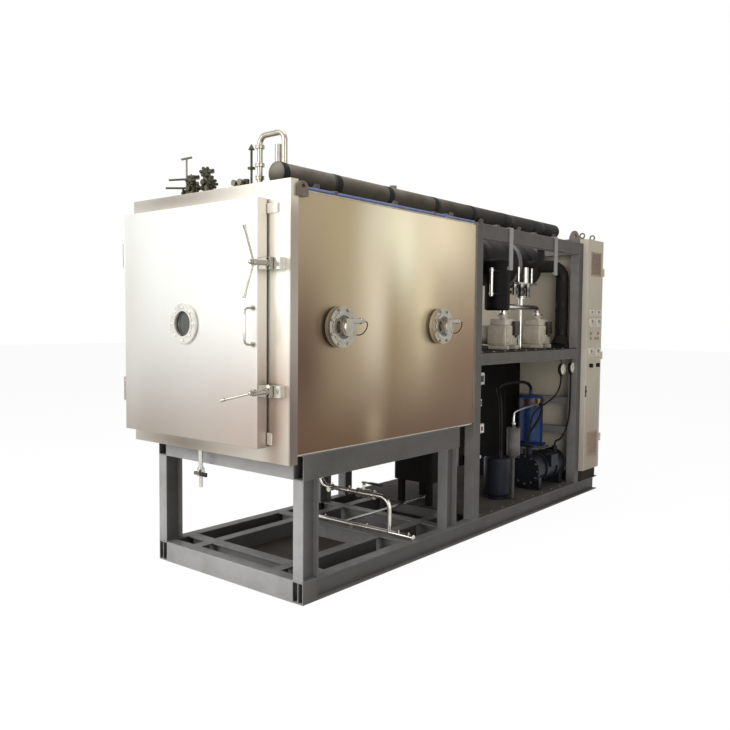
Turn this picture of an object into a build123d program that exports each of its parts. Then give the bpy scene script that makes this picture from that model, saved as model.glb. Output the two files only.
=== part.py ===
"""Production freeze dryer on a steel skid.

A rectangular drying chamber stands at the -Y end with its door facing -Y. The open
machine bay with the vacuum pumps, ice condenser and refrigeration is behind it, and
the control cabinet closes the +Y end. X runs across the machine, Z is up, and the
origin is on the floor at the middle of the skid. All sizes are in millimetres.
"""
import os

from build123d import *

os.makedirs("parts", exist_ok=True)

# ---------------------------------------------------------------- skid and frame steel
SKID_WIDTH = 1230
SKID_LENGTH = 3780
SKID_FRONT_Y = -1890
BEAM_HEIGHT = 120
BEAM_WIDTH = 74
BEAM_FLANGE = 8.5
BEAM_WEB = 6
COVER_PLATE = 6
CORNER_COVER_LENGTH = 113
CROSS_BEAM_CLEAR = 0.5
STRINGER_X = 340
FRONT_CROSS_BACK = 1853
SKID_CROSS_Y = (-FRONT_CROSS_BACK, -1685, -900, -461, 0, 600, 1460, FRONT_CROSS_BACK)
DECK_PLATE = 4
DECK_GAP = 4
BAY_DECK = 6

LEG_DEPTH = 120
REAR_LEG_Y = -461
REAR_LEG_INSET = 17
STAND_BEAM_BOTTOM = 652
STAND_BEAM_TOP = 786
STAND_MIDDLE_Y = -1150

POST_WIDTH = 75
POST_DEPTH = 80
POST_WALL = 5
FRONT_POST_Y = -179
REAR_POST_Y = 1455
FRAME_TOP = 2150
TOP_BEAM_HEIGHT = 97
SHELF_BEAM_TOP = 1264
SHELF_BEAM_HEIGHT = 80
SIDE_BEAM_INSET = 3
SHELF_PLATE = 6
REAR_BAR_HEIGHT = 60
REAR_BAR_BOTTOMS = (536, 790)

# ---------------------------------------------------------------- chamber and door
OPENING_X = -124.5
OPENING_Z = 1460.5
OPENING_WIDTH = 960
OPENING_HEIGHT = 1060
OPENING_RADIUS = 12
VESSEL_WALL = 8
VESSEL_BACK_Y = -400
FLANGE_BACK_Y = -1932
FLANGE_THICK = 54
FLANGE_LEFT = -714
FLANGE_RIGHT = 614
FLANGE_BOTTOM = 746
FLANGE_TOP = 2184
CLADDING_LEFT = -707
CLADDING_RIGHT = 607
CLADDING_TOP = 2140
CLADDING_BACK_Y = -220
CLADDING_SHEET = 3

SHELF_COUNT = 7
SHELF_PITCH = 140
SHELF_FIRST_Z = 1010
DRYING_SHELF_THICK = 18
RACK_POST = 24
RACK_SIDE_GAP = 16.5
RACK_PEG = 34
SHELF_SIDE_GAP = 8
SHELF_FRONT_Y = -1900
SHELF_BACK_Y = -450
RACK_Y = (-1780, -570)

DOOR_WIDTH = 1155
DOOR_HEIGHT = 1273
DOOR_THICK = 65
DOOR_EDGE = 3
SEAL_GAP = 0.3
SEAL_THICK = 9.7
SEAL_INNER_MARGIN = 15
SEAL_WIDTH = 30

WINDOW_X = -130
WINDOW_Z = 1457
WINDOW_RING = 225
WINDOW_CLEAR = 140
WINDOW_RING_THICK = 20
WINDOW_BORE = 150
WINDOW_STEP = 130
GLASS_THICK = 25
GLASS_EDGE_GAP = 1
BOLT_COUNT = 8
BOLT_HEAD = 13
BOLT_HEAD_HIGH = 8

HINGE_AXIS_X = -745
HINGE_AXIS_Y = -2024
HINGE_Z = (1060, 1860)
HINGE_PIN = 20
HINGE_FIT = 0.05
HINGE_KNUCKLE = 36
HINGE_HALF = 40
HINGE_EAR = 30
HINGE_PLAY = 0.5
HINGE_BACKPLATE = 12
LEAF_THICK = 24

GRAB_X = 422
GRAB_LOW_Z = 1356
GRAB_HIGH_Z = 1541
GRAB_ROD = 12
GRAB_REACH = 57
GRAB_FOOT = 28

LATCH_X = 523
LATCH_UPPER_Z = 1763
LATCH_LOWER_Z = 1122
SPINDLE = 16
SPINDLE_FIT = 0.05
LATCH_HUB = 26
LATCH_FRONT_Y = -2171
LATCH_BLOCK_HALF = 31
LATCH_BLOCK_RIGHT = 538
LATCH_BLOCK_FRONT_Y = -2056
LATCH_BLOCK_BACK_Y = -2016
LATCH_ARM = 175
LATCH_ARM_ROD = 13
LATCH_ARM_LEAN = 20
LATCH_GRIP = 22
LATCH_GRIP_DIAMETER = 18
LATCH_ARM_Y = -2148
CLAW_FRONT_Y = -2012
CLAW_THICK = 10
CLAW_REACH = 32
CLAW_WIDTH = 22
KEEPER_LIP_LEFT = 540
KEEPER_LEG_LEFT = 562
KEEPER_RIGHT = 580
KEEPER_LIP_FRONT_Y = -2030
KEEPER_LIP_THICK = 12
HUB_CLEAR = 2
CLAW_BOSS_RIM = 1
DOOR_STOP_THICK = 12
UPPER_STOP = ((457, 530), (2020, 2070))
LOWER_STOP = ((457, 492), (841, 903))

PORT_CENTRES = ((-1630, 1447), (-672, 1452))
NOZZLE_OUTER = 150
NOZZLE_BORE = 138
NOZZLE_GAP = 0.5
PORT_FLANGE = 220
PORT_FLANGE_THICK = 18
NOZZLE_END_X = 640
PORT_CLAMP_THICK = 16
PORT_GLASS = 148
LAMP_HOUSING = 96
LAMP_LENGTH = 36
LAMP_ARM = 28
LAMP_ARM_RISE = 33
LAMP_ARM_REACH = 115
LAMP_ARM_TAIL = 30
LAMP_SINK = 2
LAMP_BAR_THICK = 6
LAMP_BAR_HALF = 7
LAMP_BAR_SHARE = 0.6

LUG_THICK = 16
FRONT_LUG_Y = -1912
FRONT_LUG_RADIUS = 38
FRONT_LUG_HOLE = 24
REAR_LUG_Y = 1350
REAR_LUG_RADIUS = 95
LUG_HOLE = 40
EYE_INSET = 60
EYE_COLLAR = 34
EYE_COLLAR_HIGH = 12
EYE_CENTRE_RISE = 34
EYE_RADIUS = 20
EYE_ROD_RADIUS = 6

# ---------------------------------------------------------------- top of the machine
TOP_PIPE_X = 422
TOP_PIPE_Z = 2242
TOP_PIPE_RADIUS = 58
TOP_PIPE_FRONT_Y = -1900
TOP_PIPE_BACK_Y = 1330
TOP_PIPE_END_ROUND = 30
TOP_STUB_Y = -905
TOP_STUB_RISE = 14
TOP_STUB = 44
DROP_Y = 1100
DROP_PIPE = 60
SADDLE_Y = (-1650, -950, -330)
BAY_SADDLE_Y = (60, 620, 1220)
SADDLE_WIDTH = 40
BAY_SADDLE_DROP = 12
BAY_SADDLE_ARM = 10
CONTACT_GAP = 0.3
FITTINGS_Y = -1850
U_LEFT_X = 245
U_RIGHT_X = 432
U_TOP_Z = 2462
U_PIPE = 30
U_BEND_SHARE = 1.5
U_COLLAR_HIGH = 14
U_COLLAR_PLACES = ((2232, 46), (2300, 50), (2396, 50))
U_FOOT_COLLAR = 70
U_SLEEVE_X = 385
U_SLEEVE_TOP_Z = 2400
U_SLEEVE = 36
T_VALVE_X = -383
T_BODY = 46
T_BODY_TOP_Z = 2215
T_BRANCH = 24
T_BRANCH_Z = 2190
T_BRANCH_END_X = -180
T_STEM = 11
T_BAR = 13
T_BAR_HALF = 45
T_BAR_Z = 2424
VALVE_PLACES = ((-318, 2180, 2300), (-185, 2170, 2320))
VALVE_STEM = 26
VALVE_BODY = 62
VALVE_BODY_INSET = 20
VALVE_GLAND = 34
VALVE_GLAND_REACH = 46
VALVE_GLAND_DROP = 60
VALVE_WHEEL = 70
VALVE_WHEEL_THICK = 14
SAMPLE_PIPE = 12
SAMPLE_PIPE_REACH = 36
SAMPLE_LOW = ((-318, 2240), (-530, 2262))
SAMPLE_HIGH = ((-318, 2292), (-500, 2306))
SAMPLE_BOSS = 20
SAMPLE_BOSS_REACH = (20, 40)
KNOB_X = (88, 138)
KNOB_Z = 2226
KNOB_BODY = 34
KNOB_BODY_HALF = 20
KNOB_STEM = 16
KNOB_SPINDLE = 10
KNOB_SPINDLE_LENGTH = 20
KNOB_START = 16
KNOB_END = 36
KNOB_SIZE = 34
BLEED_PIPE = 8
BLEED_PIPE_Z = 2170
BLEED_PIPE_END_X = 176
VENT_X = 178
VENT_PIPE = 13
VENT_TOP_Z = 2402
VENT_COLLAR = 42
VENT_COLLAR_SPAN = (2296, 2306)
VENT_CAP = 36
VENT_CAP_POINT = 4
VENT_CAP_SPAN = (2400, 2430)
AIR_LINE = 14
AIR_LINE_X = 598
AIR_LINE_Z = 2152
AIR_LINE_STEP = 2
AIR_LINE_FRONT_Y = -1855
AIR_JOINER_SPAN = (-600, -572)
AIR_LINE_BACK_Y = -232
AIR_END_LENGTH = 14
AIR_FITTING_LEFT = 11
AIR_FITTING_RIGHT = 9
AIR_JOINER_RISE = 13
AIR_END_RISE = 11
AIR_CLAMP_Y = (-1640, -711)
AIR_CLAMP_HALF_X = 9
AIR_CLAMP_HALF_Y = 14
AIR_CLAMP_RISE = 4

# ---------------------------------------------------------------- machine bay
CONDENSER_X = 120
CONDENSER_Z = 1960
CONDENSER_RADIUS = 185
CONDENSER_FRONT_Y = -130
CONDENSER_BACK_Y = 1380
DUCT_Z = 1885
DUCT_RADIUS = 85
STRAP_Y = (240, 965)
STRAP_WIDTH = 52
STRAP_THICK = 7
STRAP_DROP_BOTTOM = 1880
STRAP_HOOK_HIGH = 24
STRAP_HOOK_DEEP = 12
PUMP_Y = (673, 1250)
PUMP_FRONT_X = 400
PUMP_BACK_X = 235
PUMP_WIDTH = 200
PUMP_INLET_X = 320
PUMP_INLET_Z = 1545
PUMP_CASE_SPAN = (1300, 1460)
PUMP_TOP_Z = 1505
PUMP_TOP_INSET = 14
PUMP_TOP_INSET_X = (15, 12)
PUMP_MOTOR = 150
PUMP_MOTOR_REACH = 150
PUMP_MOTOR_Z = 1380
PUMP_MOTOR_SINK = 4
PUMP_NECK = 56
PUMP_INLET_FLANGE = 84
PUMP_INLET_FLANGE_HIGH = 13
PUMP_FOOT_INSET = 25
PUMP_FOOT_HALF = 20
PUMP_FOOT_REACH = (10, 14)
PUMP_RIB_COUNT = 4
PUMP_RIB_START = 12
PUMP_RIB_PITCH = 22
PUMP_RIB_WIDTH = 9
PUMP_RIB_PROUD = 8
PUMP_RIB_SPAN = (1315, 1445)
TERMINAL_FROM_EDGE = (92, 12)
TERMINAL_PROUD = 24
TERMINAL_SPAN = (1380, 1492)
MANIFOLD_Z = 1605
MANIFOLD_PIPE = 48
MANIFOLD_FLANGE = 76
MANIFOLD_FLANGE_HIGH = 12
MANIFOLD_NECK = 40
MANIFOLD_TOP_Z = 1690
MANIFOLD_TOP_FLANGE = 76
MANIFOLD_TOP_FLANGE_HIGH = 14
MANIFOLD_PROP = 24
VALVE_Y = 961
VALVE_PLATE_Z = 1790
VALVE_CENTRE_SIZE = 56
VALVE_SIDE_SIZE = 40
VALVE_SIDE_OFFSET = 112
VALVE_SIDE_LOW_Z = 1702
VALVE_PLATE_HALF_X = 65
VALVE_PLATE_HALF_Y = 150
VALVE_PLATE_THICK = 12
VALVE_ROD_OFFSET = 111
VALVE_ROD = 24
VALVE_PISTON_ROD = 58
VALVE_ROD_SHIFT_X = 34
VALVE_ROD_TOP_Z = 1925
VALVE_SIDE_PIPE = 30
VALVE_SIDE_BEND = 50
VALVE_SIDE_PIPE_Z = 1735
VALVE_SIDE_PIPE_TOP_Z = 1830
RISER_X = 455
RISER_Y = 1440
RISER_PIPE = 104
RISER_BEND = 100
RISER_LEAN_Y = 170
RISER_START_RISE = 20
RISER_CUFF_DIAMETERS = (150, 108)
RISER_CUFF_RISE = (24, 90)
RISER_CUFF_BACK = (20, 6)
RISER_BOX_X = (75, 78)
RISER_BOX_Y = (90, 52)
RISER_BOX_HIGH = 28
TANK_X = 400
TANK_Y = 436
TANK_RADIUS = 95
TANK_SPAN = (1571, 1950)
TANK_ROUND = 20
TANK_OUTLET = 80
TANK_OUTLET_Z = 1880
LEVEL_GLASS_X = 470
LEVEL_GLASS_Y = 225
LEVEL_GLASS = 22
LEVEL_GLASS_SPAN = (1670, 1880)
LEVEL_ARM = 14
LEVEL_ARM_Z = (1690, 1860)
LEVEL_ARM_SINK = 40
SCREW_X = 430
SCREW_Z = 290
SCREW_RADIUS = 125
SCREW_SPAN_Y = (880, 1380)
SCREW_BODY_STEP = 24
SCREW_RING_Y = (880, 1040, 1220, 1356)
SCREW_RING_WIDTH = 24
SCREW_FOOT_Y = (930, 1300)
SCREW_FOOT_WIDTH = 50
SCREW_FOOT_HALF = 100
SCREW_FOOT_DROP = 60
SCREW_BOX = ((60, 135), (1080, 1200), (10, 110))
SCREW_SUCTION_Y = 940
SCREW_SUCTION = 60
SCREW_SUCTION_RISE = 90
SCREW_SUCTION_TOP_Z = 470
SCREW_OIL_X = 40
SCREW_OIL_Y = 1330
SCREW_OIL = 44
SCREW_OIL_RISE = 60
SCREW_OIL_TOP_Z = 440
SCREW_OUT_X = 80
SCREW_OUT_Y = 1052
SCREW_OUT = 28
SCREW_OUT_TOP_Z = 410
BLUE_X = 280
BLUE_Y = 1250
BLUE_RADIUS = 105
BLUE_BOTTOM = 430
BLUE_TOP = 868
BLUE_LIFT = 20
BLUE_ROUND = 34
BLUE_BAND_RIM = 8
BLUE_BAND_DROP = (96, 84)
BLUE_FOOT_OFFSET = 82
BLUE_FOOT = 40
BLUE_FOOT_HIGH = 22
BLUE_PLATE_HALF = 100
BLUE_PLATE_RISE = (18, 26)
BLUE_PORT_Z = 800
BLUE_PORT = 36
BLUE_PORT_FROM = (90, 60)
BLUE_PORT_TO = (135, 90)
BLUE_TOP_PORT = 30
BLUE_TOP_PORT_HIGH = 40
STAND_HALF = 120
STAND_PLATE = 12
STAND_LEG_HALF = 10
STAND_LEG_LEFT_X = (110, 15)
STAND_LEG_OFFSET_Y = 105
RECEIVER_X = 400
RECEIVER_Y = 490
RECEIVER_RADIUS = 105
RECEIVER_TOP = 450
RECEIVER_ROUND = 24
RECEIVER_SKIRT = 150
RECEIVER_SKIRT_HIGH = 50
RECEIVER_PORT = 26
RECEIVER_PORT_X = 50
RECEIVER_PORT_Y = 40
RECEIVER_PORT_TOP_Z = 500
FILTER_X = 516
FILTER_Y = 520
FILTER_SPAN = (470, 680)
FILTER_RADIUS = 50
FILTER_CONE = (440, 474)
FILTER_NECK = 24
FILTER_FOOT = 40
FILTER_FOOT_HIGH = 12
FILTER_PORT_TOP_Z = 706
OIL_TANK_SPANS = ((-150, 200), (-125, 250), (300, 800))
OIL_TANK_ROUND = 40
OIL_TANK_LEG_INSET = 50
OIL_TANK_LEG_HALF = 20
REAR_TANK_SPANS = ((-250, 95), (1150, 1400), 1170)
GAUGE_PLACES = ((1180, 1101), (1366, 1108))
GAUGE_SIZE = 88
GAUGE_SPAN_X = (572, 602)
GAUGE_X = 585
GAUGE_PIPE = 16
GAUGE_PIPE_START = 36
GAUGE_TAIL = 18
GAUGE_TAIL_DROP = 62
FRONT_GAUGE_HOSE = 13
REAR_GAUGE_HOSE = 15
SUCTION_HOSE = 26
DISCHARGE_HOSE = 20
POST_BOXES = (((558, 611), 54, (1050, 1132)), ((562, 611), 58, (713, 778)))
POST_SMALL_BOX = ((560, 604), 36, (900, 948))
POST_BUTTON_X = 588
POST_BUTTON_Z = 545
POST_BUTTON = 28
POST_BUTTON_DEEP = 40

# ---------------------------------------------------------------- pipework below the chamber
DRAIN_PIPE = 30
DRAIN_BEND = 70
DRAIN_Y = -880
DRAIN_HIGH_Z = 360
DRAIN_LOW_Z = BEAM_HEIGHT + 18
DRAIN_RISER_X = -190
DRAIN_CORNER_X = 400
DRAIN_OUTLET_X = 590
DRAIN_VALVE_X = 190
FRONT_DRAIN_Z = 640
DRAIN_HEADER_START_X = -217
DRAIN_JOINER_X = (60, 120)
DRAIN_FERRULE_THICK = 12
DRAIN_FERRULE_RIM = 5
DRAIN_VALVE_BODY = 54
DRAIN_VALVE_HALF = 34
DRAIN_DISC_BEFORE = 52
DRAIN_DISC_AFTER = 38
DRAIN_UNION_INSET = 130
DRAIN_DISC = 60
DRAIN_DISC_THICK = 10
DRAIN_STEM = 20
DRAIN_STEM_TOP_Z = 416
DRAIN_BRANCH_X = -60
DRAIN_BRANCH = 20
DRAIN_BRANCH_REACH = 60
DRAIN_BRANCH_CAP = 34
DRAIN_BRANCH_CAP_SPAN = (58, 68)
DRAIN_PROP_SPANS = ((85, 115), (20, 17))
TANK_DRAIN_X = 5
TANK_DRAIN_Y = 113
TANK_DRAIN_PIPE = 16
TANK_DRAIN_BEND = 40
FRONT_DRAIN_PIPE = 26
FRONT_DRAIN_BODY = 42
FRONT_DRAIN_BODY_HIGH = 46
FRONT_DRAIN_SPOUT = 22
FRONT_DRAIN_SPOUT_DROP = 110
FRONT_DRAIN_GLAND = 18
FRONT_DRAIN_GLAND_REACH = 30
LEVER_COLLAR = 22
LEVER_COLLAR_TOP_Z = 436
LEVER_THICK = 8
LEVER_HALF_WIDTH = 11
LEVER_BACK = 12
LEVER_REACH = 150
FRONT_LEVER_COLLAR = 20
FRONT_LEVER_COLLAR_LENGTH = 12
FRONT_LEVER_THICK = 6
FRONT_LEVER_HALF_WIDTH = 9
FRONT_LEVER_REACH = 100

# ---------------------------------------------------------------- control cabinet
CABINET_LEFT = -600
CABINET_RIGHT = 630
CABINET_FRONT_Y = 1505
CABINET_BACK_Y = 1835
CABINET_BOTTOM = 215
CABINET_TOP = 2190
CABINET_SHEET = 3
CABINET_DOOR_THICK = 19.5
CABINET_DOOR_GAP = 0.5
CABINET_DOOR_MARGIN = 2
CABINET_HINGE_X = 656
CABINET_HINGE_Y = 1841
CABINET_HINGE_Z = (480, 1200, 1920)
CABINET_KNUCKLE = 12
CABINET_PIN = 5
CABINET_KNUCKLE_HIGH = 34
LOUVRE_WIDTH = 214
LOUVRE_HEIGHT = 205
LOUVRE_THICK = 4
LOUVRE_SLOTS = 9
LOUVRE_Y = 1682
LOUVRE_Z = (440, 1985)
SELECTOR_Y = (1605, 1750)
SELECTOR_Z = 1118
SELECTOR_KNOB = 36
SELECTOR_BASE = 14
SELECTOR_GRIP_SPAN = (12, 28)
SELECTOR_GRIP_HALF = 5
PLINTH_PROUD = 3
PLINTH_WALL = 40
CABINET_HINGE_BACK = 30
CABINET_LEAF_REACH = 40
LOUVRE_HOLE_SHARE = 0.44
LOUVRE_SLOT_SHARE = 0.42
LOUVRE_FIELD_SHARE = 0.86
INSTRUMENT_ROWS = ((1570, 42, 12), (1488, 66, 16), (1232, 66, 14))
INSTRUMENT_COLUMNS = ((1572, 1646), (1712, 1800))
LAMP_PLACES = ((1600, 1392), (1755, 1392), (1600, 1350), (1700, 1350), (1755, 1350))
PANEL_LAMP = 24
PANEL_LAMP_PROUD = 14

# ---------------------------------------------------------------- values that follow
SKID_RIGHT = SKID_WIDTH / 2
RAIL_X = SKID_RIGHT - BEAM_WIDTH / 2
RAIL_INNER_X = SKID_RIGHT - BEAM_WIDTH
FLANGE_FRONT_Y = FLANGE_BACK_Y - FLANGE_THICK
DOOR_BACK_Y = FLANGE_FRONT_Y - SEAL_THICK - SEAL_GAP
DOOR_FRONT_Y = DOOR_BACK_Y - DOOR_THICK
DOOR_LEFT = OPENING_X - DOOR_WIDTH / 2
DOOR_RIGHT = OPENING_X + DOOR_WIDTH / 2
OPENING_BOTTOM = OPENING_Z - OPENING_HEIGHT / 2
OPENING_TOP = OPENING_Z + OPENING_HEIGHT / 2
OPENING_LEFT = OPENING_X - OPENING_WIDTH / 2
OPENING_RIGHT = OPENING_X + OPENING_WIDTH / 2
CLADDING_BOTTOM = STAND_BEAM_TOP
BAY_FRONT_Y = FRONT_POST_Y + POST_DEPTH / 2
BAY_BACK_Y = REAR_POST_Y - POST_DEPTH / 2
POST_INNER_X = SKID_RIGHT - POST_WIDTH
SHELF_TOP = SHELF_BEAM_TOP + SHELF_PLATE
BAY_FLOOR = BEAM_HEIGHT + BAY_DECK
CABINET_DOOR_BACK_X = CABINET_RIGHT + CABINET_DOOR_GAP
CABINET_FACE_X = CABINET_DOOR_BACK_X + CABINET_DOOR_THICK


# ---------------------------------------------------------------- shared shapes
def block(x_span, y_span, z_span, mode=Mode.ADD):
    """Square block that fills three (low, high) spans."""
    spans = (x_span, y_span, z_span)
    centre = tuple((low + high) / 2 for low, high in spans)
    with Locations(centre):
        Box(*(high - low for low, high in spans), mode=mode)


def rod(start, end, diameter, mode=Mode.ADD):
    """Round bar from one point to another."""
    axis = Vector(*end) - Vector(*start)
    with Locations(Plane(origin=start, z_dir=axis)):
        Cylinder(diameter / 2, axis.length, align=(Align.CENTER, Align.CENTER, Align.MIN), mode=mode)


def cone(start, end, start_diameter, end_diameter):
    """Tapered round bar from one point to another."""
    axis = Vector(*end) - Vector(*start)
    with Locations(Plane(origin=start, z_dir=axis)):
        Cone(start_diameter / 2, end_diameter / 2, axis.length,
             align=(Align.CENTER, Align.CENTER, Align.MIN))


def pipe(points, diameter, bend):
    """Round pipe along straight runs joined by bends of one radius."""
    with BuildLine() as route:
        FilletPolyline(*points, radius=bend)
    with BuildSketch(Plane(origin=route.line @ 0, z_dir=route.line % 0)) as section:
        Circle(diameter / 2)
    sweep(sections=section.sketch, path=route.line)


def i_beam(start, along, across, length, width, height):
    """I-section beam that runs from start, its flanges across."""
    with BuildSketch(Plane(origin=start, x_dir=across, z_dir=along)) as section:
        Rectangle(width, height)
        pocket = (width - BEAM_WEB) / 2
        with Locations((-(pocket + BEAM_WEB) / 2, 0), ((pocket + BEAM_WEB) / 2, 0)):
            Rectangle(pocket, height - 2 * BEAM_FLANGE, mode=Mode.SUBTRACT)
    extrude(section.sketch, amount=length)


def box_tube(start, along, across, length, width, height):
    """Rectangular hollow section that runs from start."""
    with BuildSketch(Plane(origin=start, x_dir=across, z_dir=along)) as section:
        Rectangle(width, height)
        Rectangle(width - 2 * POST_WALL, height - 2 * POST_WALL, mode=Mode.SUBTRACT)
    extrude(section.sketch, amount=length)


def save(built, name):
    """Label a finished piece and write it as its own STEP file."""
    built.part.label = name
    export_step(built.part, f"parts/{name}.step")


# ================================================================ skid
with BuildPart() as skid_rails:
    for side in (-1, 1):
        i_beam((side * RAIL_X, SKID_FRONT_Y, BEAM_HEIGHT / 2), (0, 1, 0), (1, 0, 0),
               SKID_LENGTH, BEAM_WIDTH, BEAM_HEIGHT)
        outer = side * SKID_RIGHT
        block(sorted((outer, outer - side * COVER_PLATE)),
              (SKID_FRONT_Y, SKID_FRONT_Y + CORNER_COVER_LENGTH),
              (BEAM_FLANGE, BEAM_HEIGHT - BEAM_FLANGE))
save(skid_rails, "skid_rails")

with BuildPart() as skid_inner_beams:
    for cross_y in SKID_CROSS_Y:
        i_beam((-RAIL_INNER_X, cross_y, BEAM_HEIGHT / 2), (1, 0, 0), (0, 1, 0),
               2 * RAIL_INNER_X, BEAM_WIDTH, BEAM_HEIGHT)
    block((-RAIL_INNER_X, RAIL_INNER_X), (SKID_FRONT_Y, SKID_FRONT_Y + COVER_PLATE),
          (BEAM_FLANGE, BEAM_HEIGHT - BEAM_FLANGE))
    for near_y, far_y in zip(SKID_CROSS_Y[:4], SKID_CROSS_Y[1:5]):
        start_y = near_y + BEAM_WIDTH / 2 + CROSS_BEAM_CLEAR
        length = far_y - near_y - BEAM_WIDTH - 2 * CROSS_BEAM_CLEAR
        for stringer_x in (-STRINGER_X, STRINGER_X):
            i_beam((stringer_x, start_y, BEAM_HEIGHT / 2), (0, 1, 0), (1, 0, 0),
                   length, BEAM_WIDTH, BEAM_HEIGHT)
save(skid_inner_beams, "skid_inner_beams")

with BuildPart() as deck_plates:
    web_clear = BEAM_WEB / 2 + DECK_GAP
    columns = ((-RAIL_X, -STRINGER_X), (-STRINGER_X, STRINGER_X), (STRINGER_X, RAIL_X))
    for near_y, far_y in zip(SKID_CROSS_Y[:4], SKID_CROSS_Y[1:5]):
        for left, right in columns:
            block((left + web_clear, right - web_clear), (near_y + web_clear, far_y - web_clear),
                  (BEAM_FLANGE, BEAM_FLANGE + DECK_PLATE))
    block((-SKID_RIGHT + SIDE_BEAM_INSET, SKID_RIGHT - SIDE_BEAM_INSET),
          (BAY_FRONT_Y + DECK_GAP, BAY_BACK_Y - DECK_GAP), (BEAM_HEIGHT, BAY_FLOOR))
save(deck_plates, "deck_plates")

# ================================================================ stand and machine frame
with BuildPart() as frame_posts:
    leg_height = STAND_BEAM_BOTTOM - BEAM_HEIGHT
    for side in (-1, 1):
        i_beam((side * RAIL_X, SKID_FRONT_Y + LEG_DEPTH / 2, BEAM_HEIGHT), (0, 0, 1), (1, 0, 0),
               leg_height, BEAM_WIDTH, LEG_DEPTH)
        i_beam((side * (RAIL_X - REAR_LEG_INSET), REAR_LEG_Y, BEAM_HEIGHT), (0, 0, 1), (1, 0, 0),
               leg_height, BEAM_WIDTH, LEG_DEPTH)
        post_x = side * (SKID_RIGHT - POST_WIDTH / 2)
        for post_y in (FRONT_POST_Y, REAR_POST_Y):
            box_tube((post_x, post_y, BEAM_HEIGHT), (0, 0, 1), (1, 0, 0),
                     FRAME_TOP - BEAM_HEIGHT, POST_WIDTH, POST_DEPTH)
            with Locations((post_x, post_y, FRAME_TOP - POST_WALL / 2)):
                Box(POST_WIDTH, POST_DEPTH, POST_WALL)
save(frame_posts, "frame_posts")

with BuildPart() as frame_side_beams:
    stand_back_y = REAR_LEG_Y + LEG_DEPTH / 2
    stand_middle_z = (STAND_BEAM_BOTTOM + STAND_BEAM_TOP) / 2
    bay_beam_width = POST_WIDTH - SIDE_BEAM_INSET
    for side in (-1, 1):
        box_tube((side * RAIL_X, SKID_FRONT_Y, stand_middle_z), (0, 1, 0), (1, 0, 0),
                 stand_back_y - SKID_FRONT_Y, BEAM_WIDTH, STAND_BEAM_TOP - STAND_BEAM_BOTTOM)
        beam_x = side * (SKID_RIGHT - bay_beam_width / 2)
        for top, height in ((FRAME_TOP, TOP_BEAM_HEIGHT), (SHELF_BEAM_TOP, SHELF_BEAM_HEIGHT)):
            box_tube((beam_x, BAY_FRONT_Y, top - height / 2), (0, 1, 0), (1, 0, 0),
                     BAY_BACK_Y - BAY_FRONT_Y, bay_beam_width, height)
save(frame_side_beams, "frame_side_beams")

with BuildPart() as frame_cross_beams:
    stand_width = 2 * RAIL_INNER_X
    for beam_y in (SKID_FRONT_Y + BEAM_WIDTH / 2, STAND_MIDDLE_Y, stand_back_y - BEAM_WIDTH / 2):
        box_tube((-RAIL_INNER_X, beam_y, stand_middle_z), (1, 0, 0), (0, 1, 0),
                 stand_width, BEAM_WIDTH, STAND_BEAM_TOP - STAND_BEAM_BOTTOM)
    cross_depth = POST_DEPTH - 2 * SIDE_BEAM_INSET
    for beam_y in (FRONT_POST_Y, REAR_POST_Y):
        for top, height in ((FRAME_TOP, TOP_BEAM_HEIGHT), (SHELF_BEAM_TOP, SHELF_BEAM_HEIGHT)):
            box_tube((-POST_INNER_X, beam_y, top - height / 2), (1, 0, 0), (0, 1, 0),
                     2 * POST_INNER_X, cross_depth, height)
    for bottom in REAR_BAR_BOTTOMS:
        box_tube((-POST_INNER_X, REAR_POST_Y, bottom + REAR_BAR_HEIGHT / 2), (1, 0, 0), (0, 1, 0),
                 2 * POST_INNER_X, REAR_BAR_HEIGHT, REAR_BAR_HEIGHT)
save(frame_cross_beams, "frame_cross_beams")

with BuildPart() as pump_shelf:
    block((-SKID_RIGHT + SIDE_BEAM_INSET, SKID_RIGHT - SIDE_BEAM_INSET),
          (BAY_FRONT_Y + DECK_GAP, BAY_BACK_Y - DECK_GAP), (SHELF_BEAM_TOP, SHELF_TOP))
save(pump_shelf, "pump_shelf")

# ================================================================ chamber
with BuildPart() as chamber_vessel:
    vessel_size = (OPENING_WIDTH + 2 * VESSEL_WALL, OPENING_HEIGHT + 2 * VESSEL_WALL)
    with BuildSketch(Plane.XZ.offset(-VESSEL_BACK_Y)):
        with Locations((OPENING_X, OPENING_Z)):
            RectangleRounded(*vessel_size, OPENING_RADIUS + VESSEL_WALL)
    extrude(amount=VESSEL_BACK_Y - FLANGE_BACK_Y)
    with BuildSketch(Plane.XZ.offset(-VESSEL_BACK_Y + VESSEL_WALL)):
        with Locations((OPENING_X, OPENING_Z)):
            RectangleRounded(OPENING_WIDTH, OPENING_HEIGHT, OPENING_RADIUS)
    extrude(amount=VESSEL_BACK_Y - FLANGE_BACK_Y, mode=Mode.SUBTRACT)
    for port_y, port_z in PORT_CENTRES:
        rod((OPENING_RIGHT + 1, port_y, port_z), (NOZZLE_END_X, port_y, port_z), NOZZLE_OUTER)
        rod((NOZZLE_END_X - PORT_FLANGE_THICK, port_y, port_z), (NOZZLE_END_X, port_y, port_z),
            PORT_FLANGE)
        rod((OPENING_RIGHT - 1, port_y, port_z), (NOZZLE_END_X, port_y, port_z), NOZZLE_BORE,
            mode=Mode.SUBTRACT)
    rod((CONDENSER_X, VESSEL_BACK_Y - VESSEL_WALL, DUCT_Z), (CONDENSER_X, VESSEL_BACK_Y, DUCT_Z),
        2 * DUCT_RADIUS - VESSEL_WALL, mode=Mode.SUBTRACT)
save(chamber_vessel, "chamber_vessel")

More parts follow.
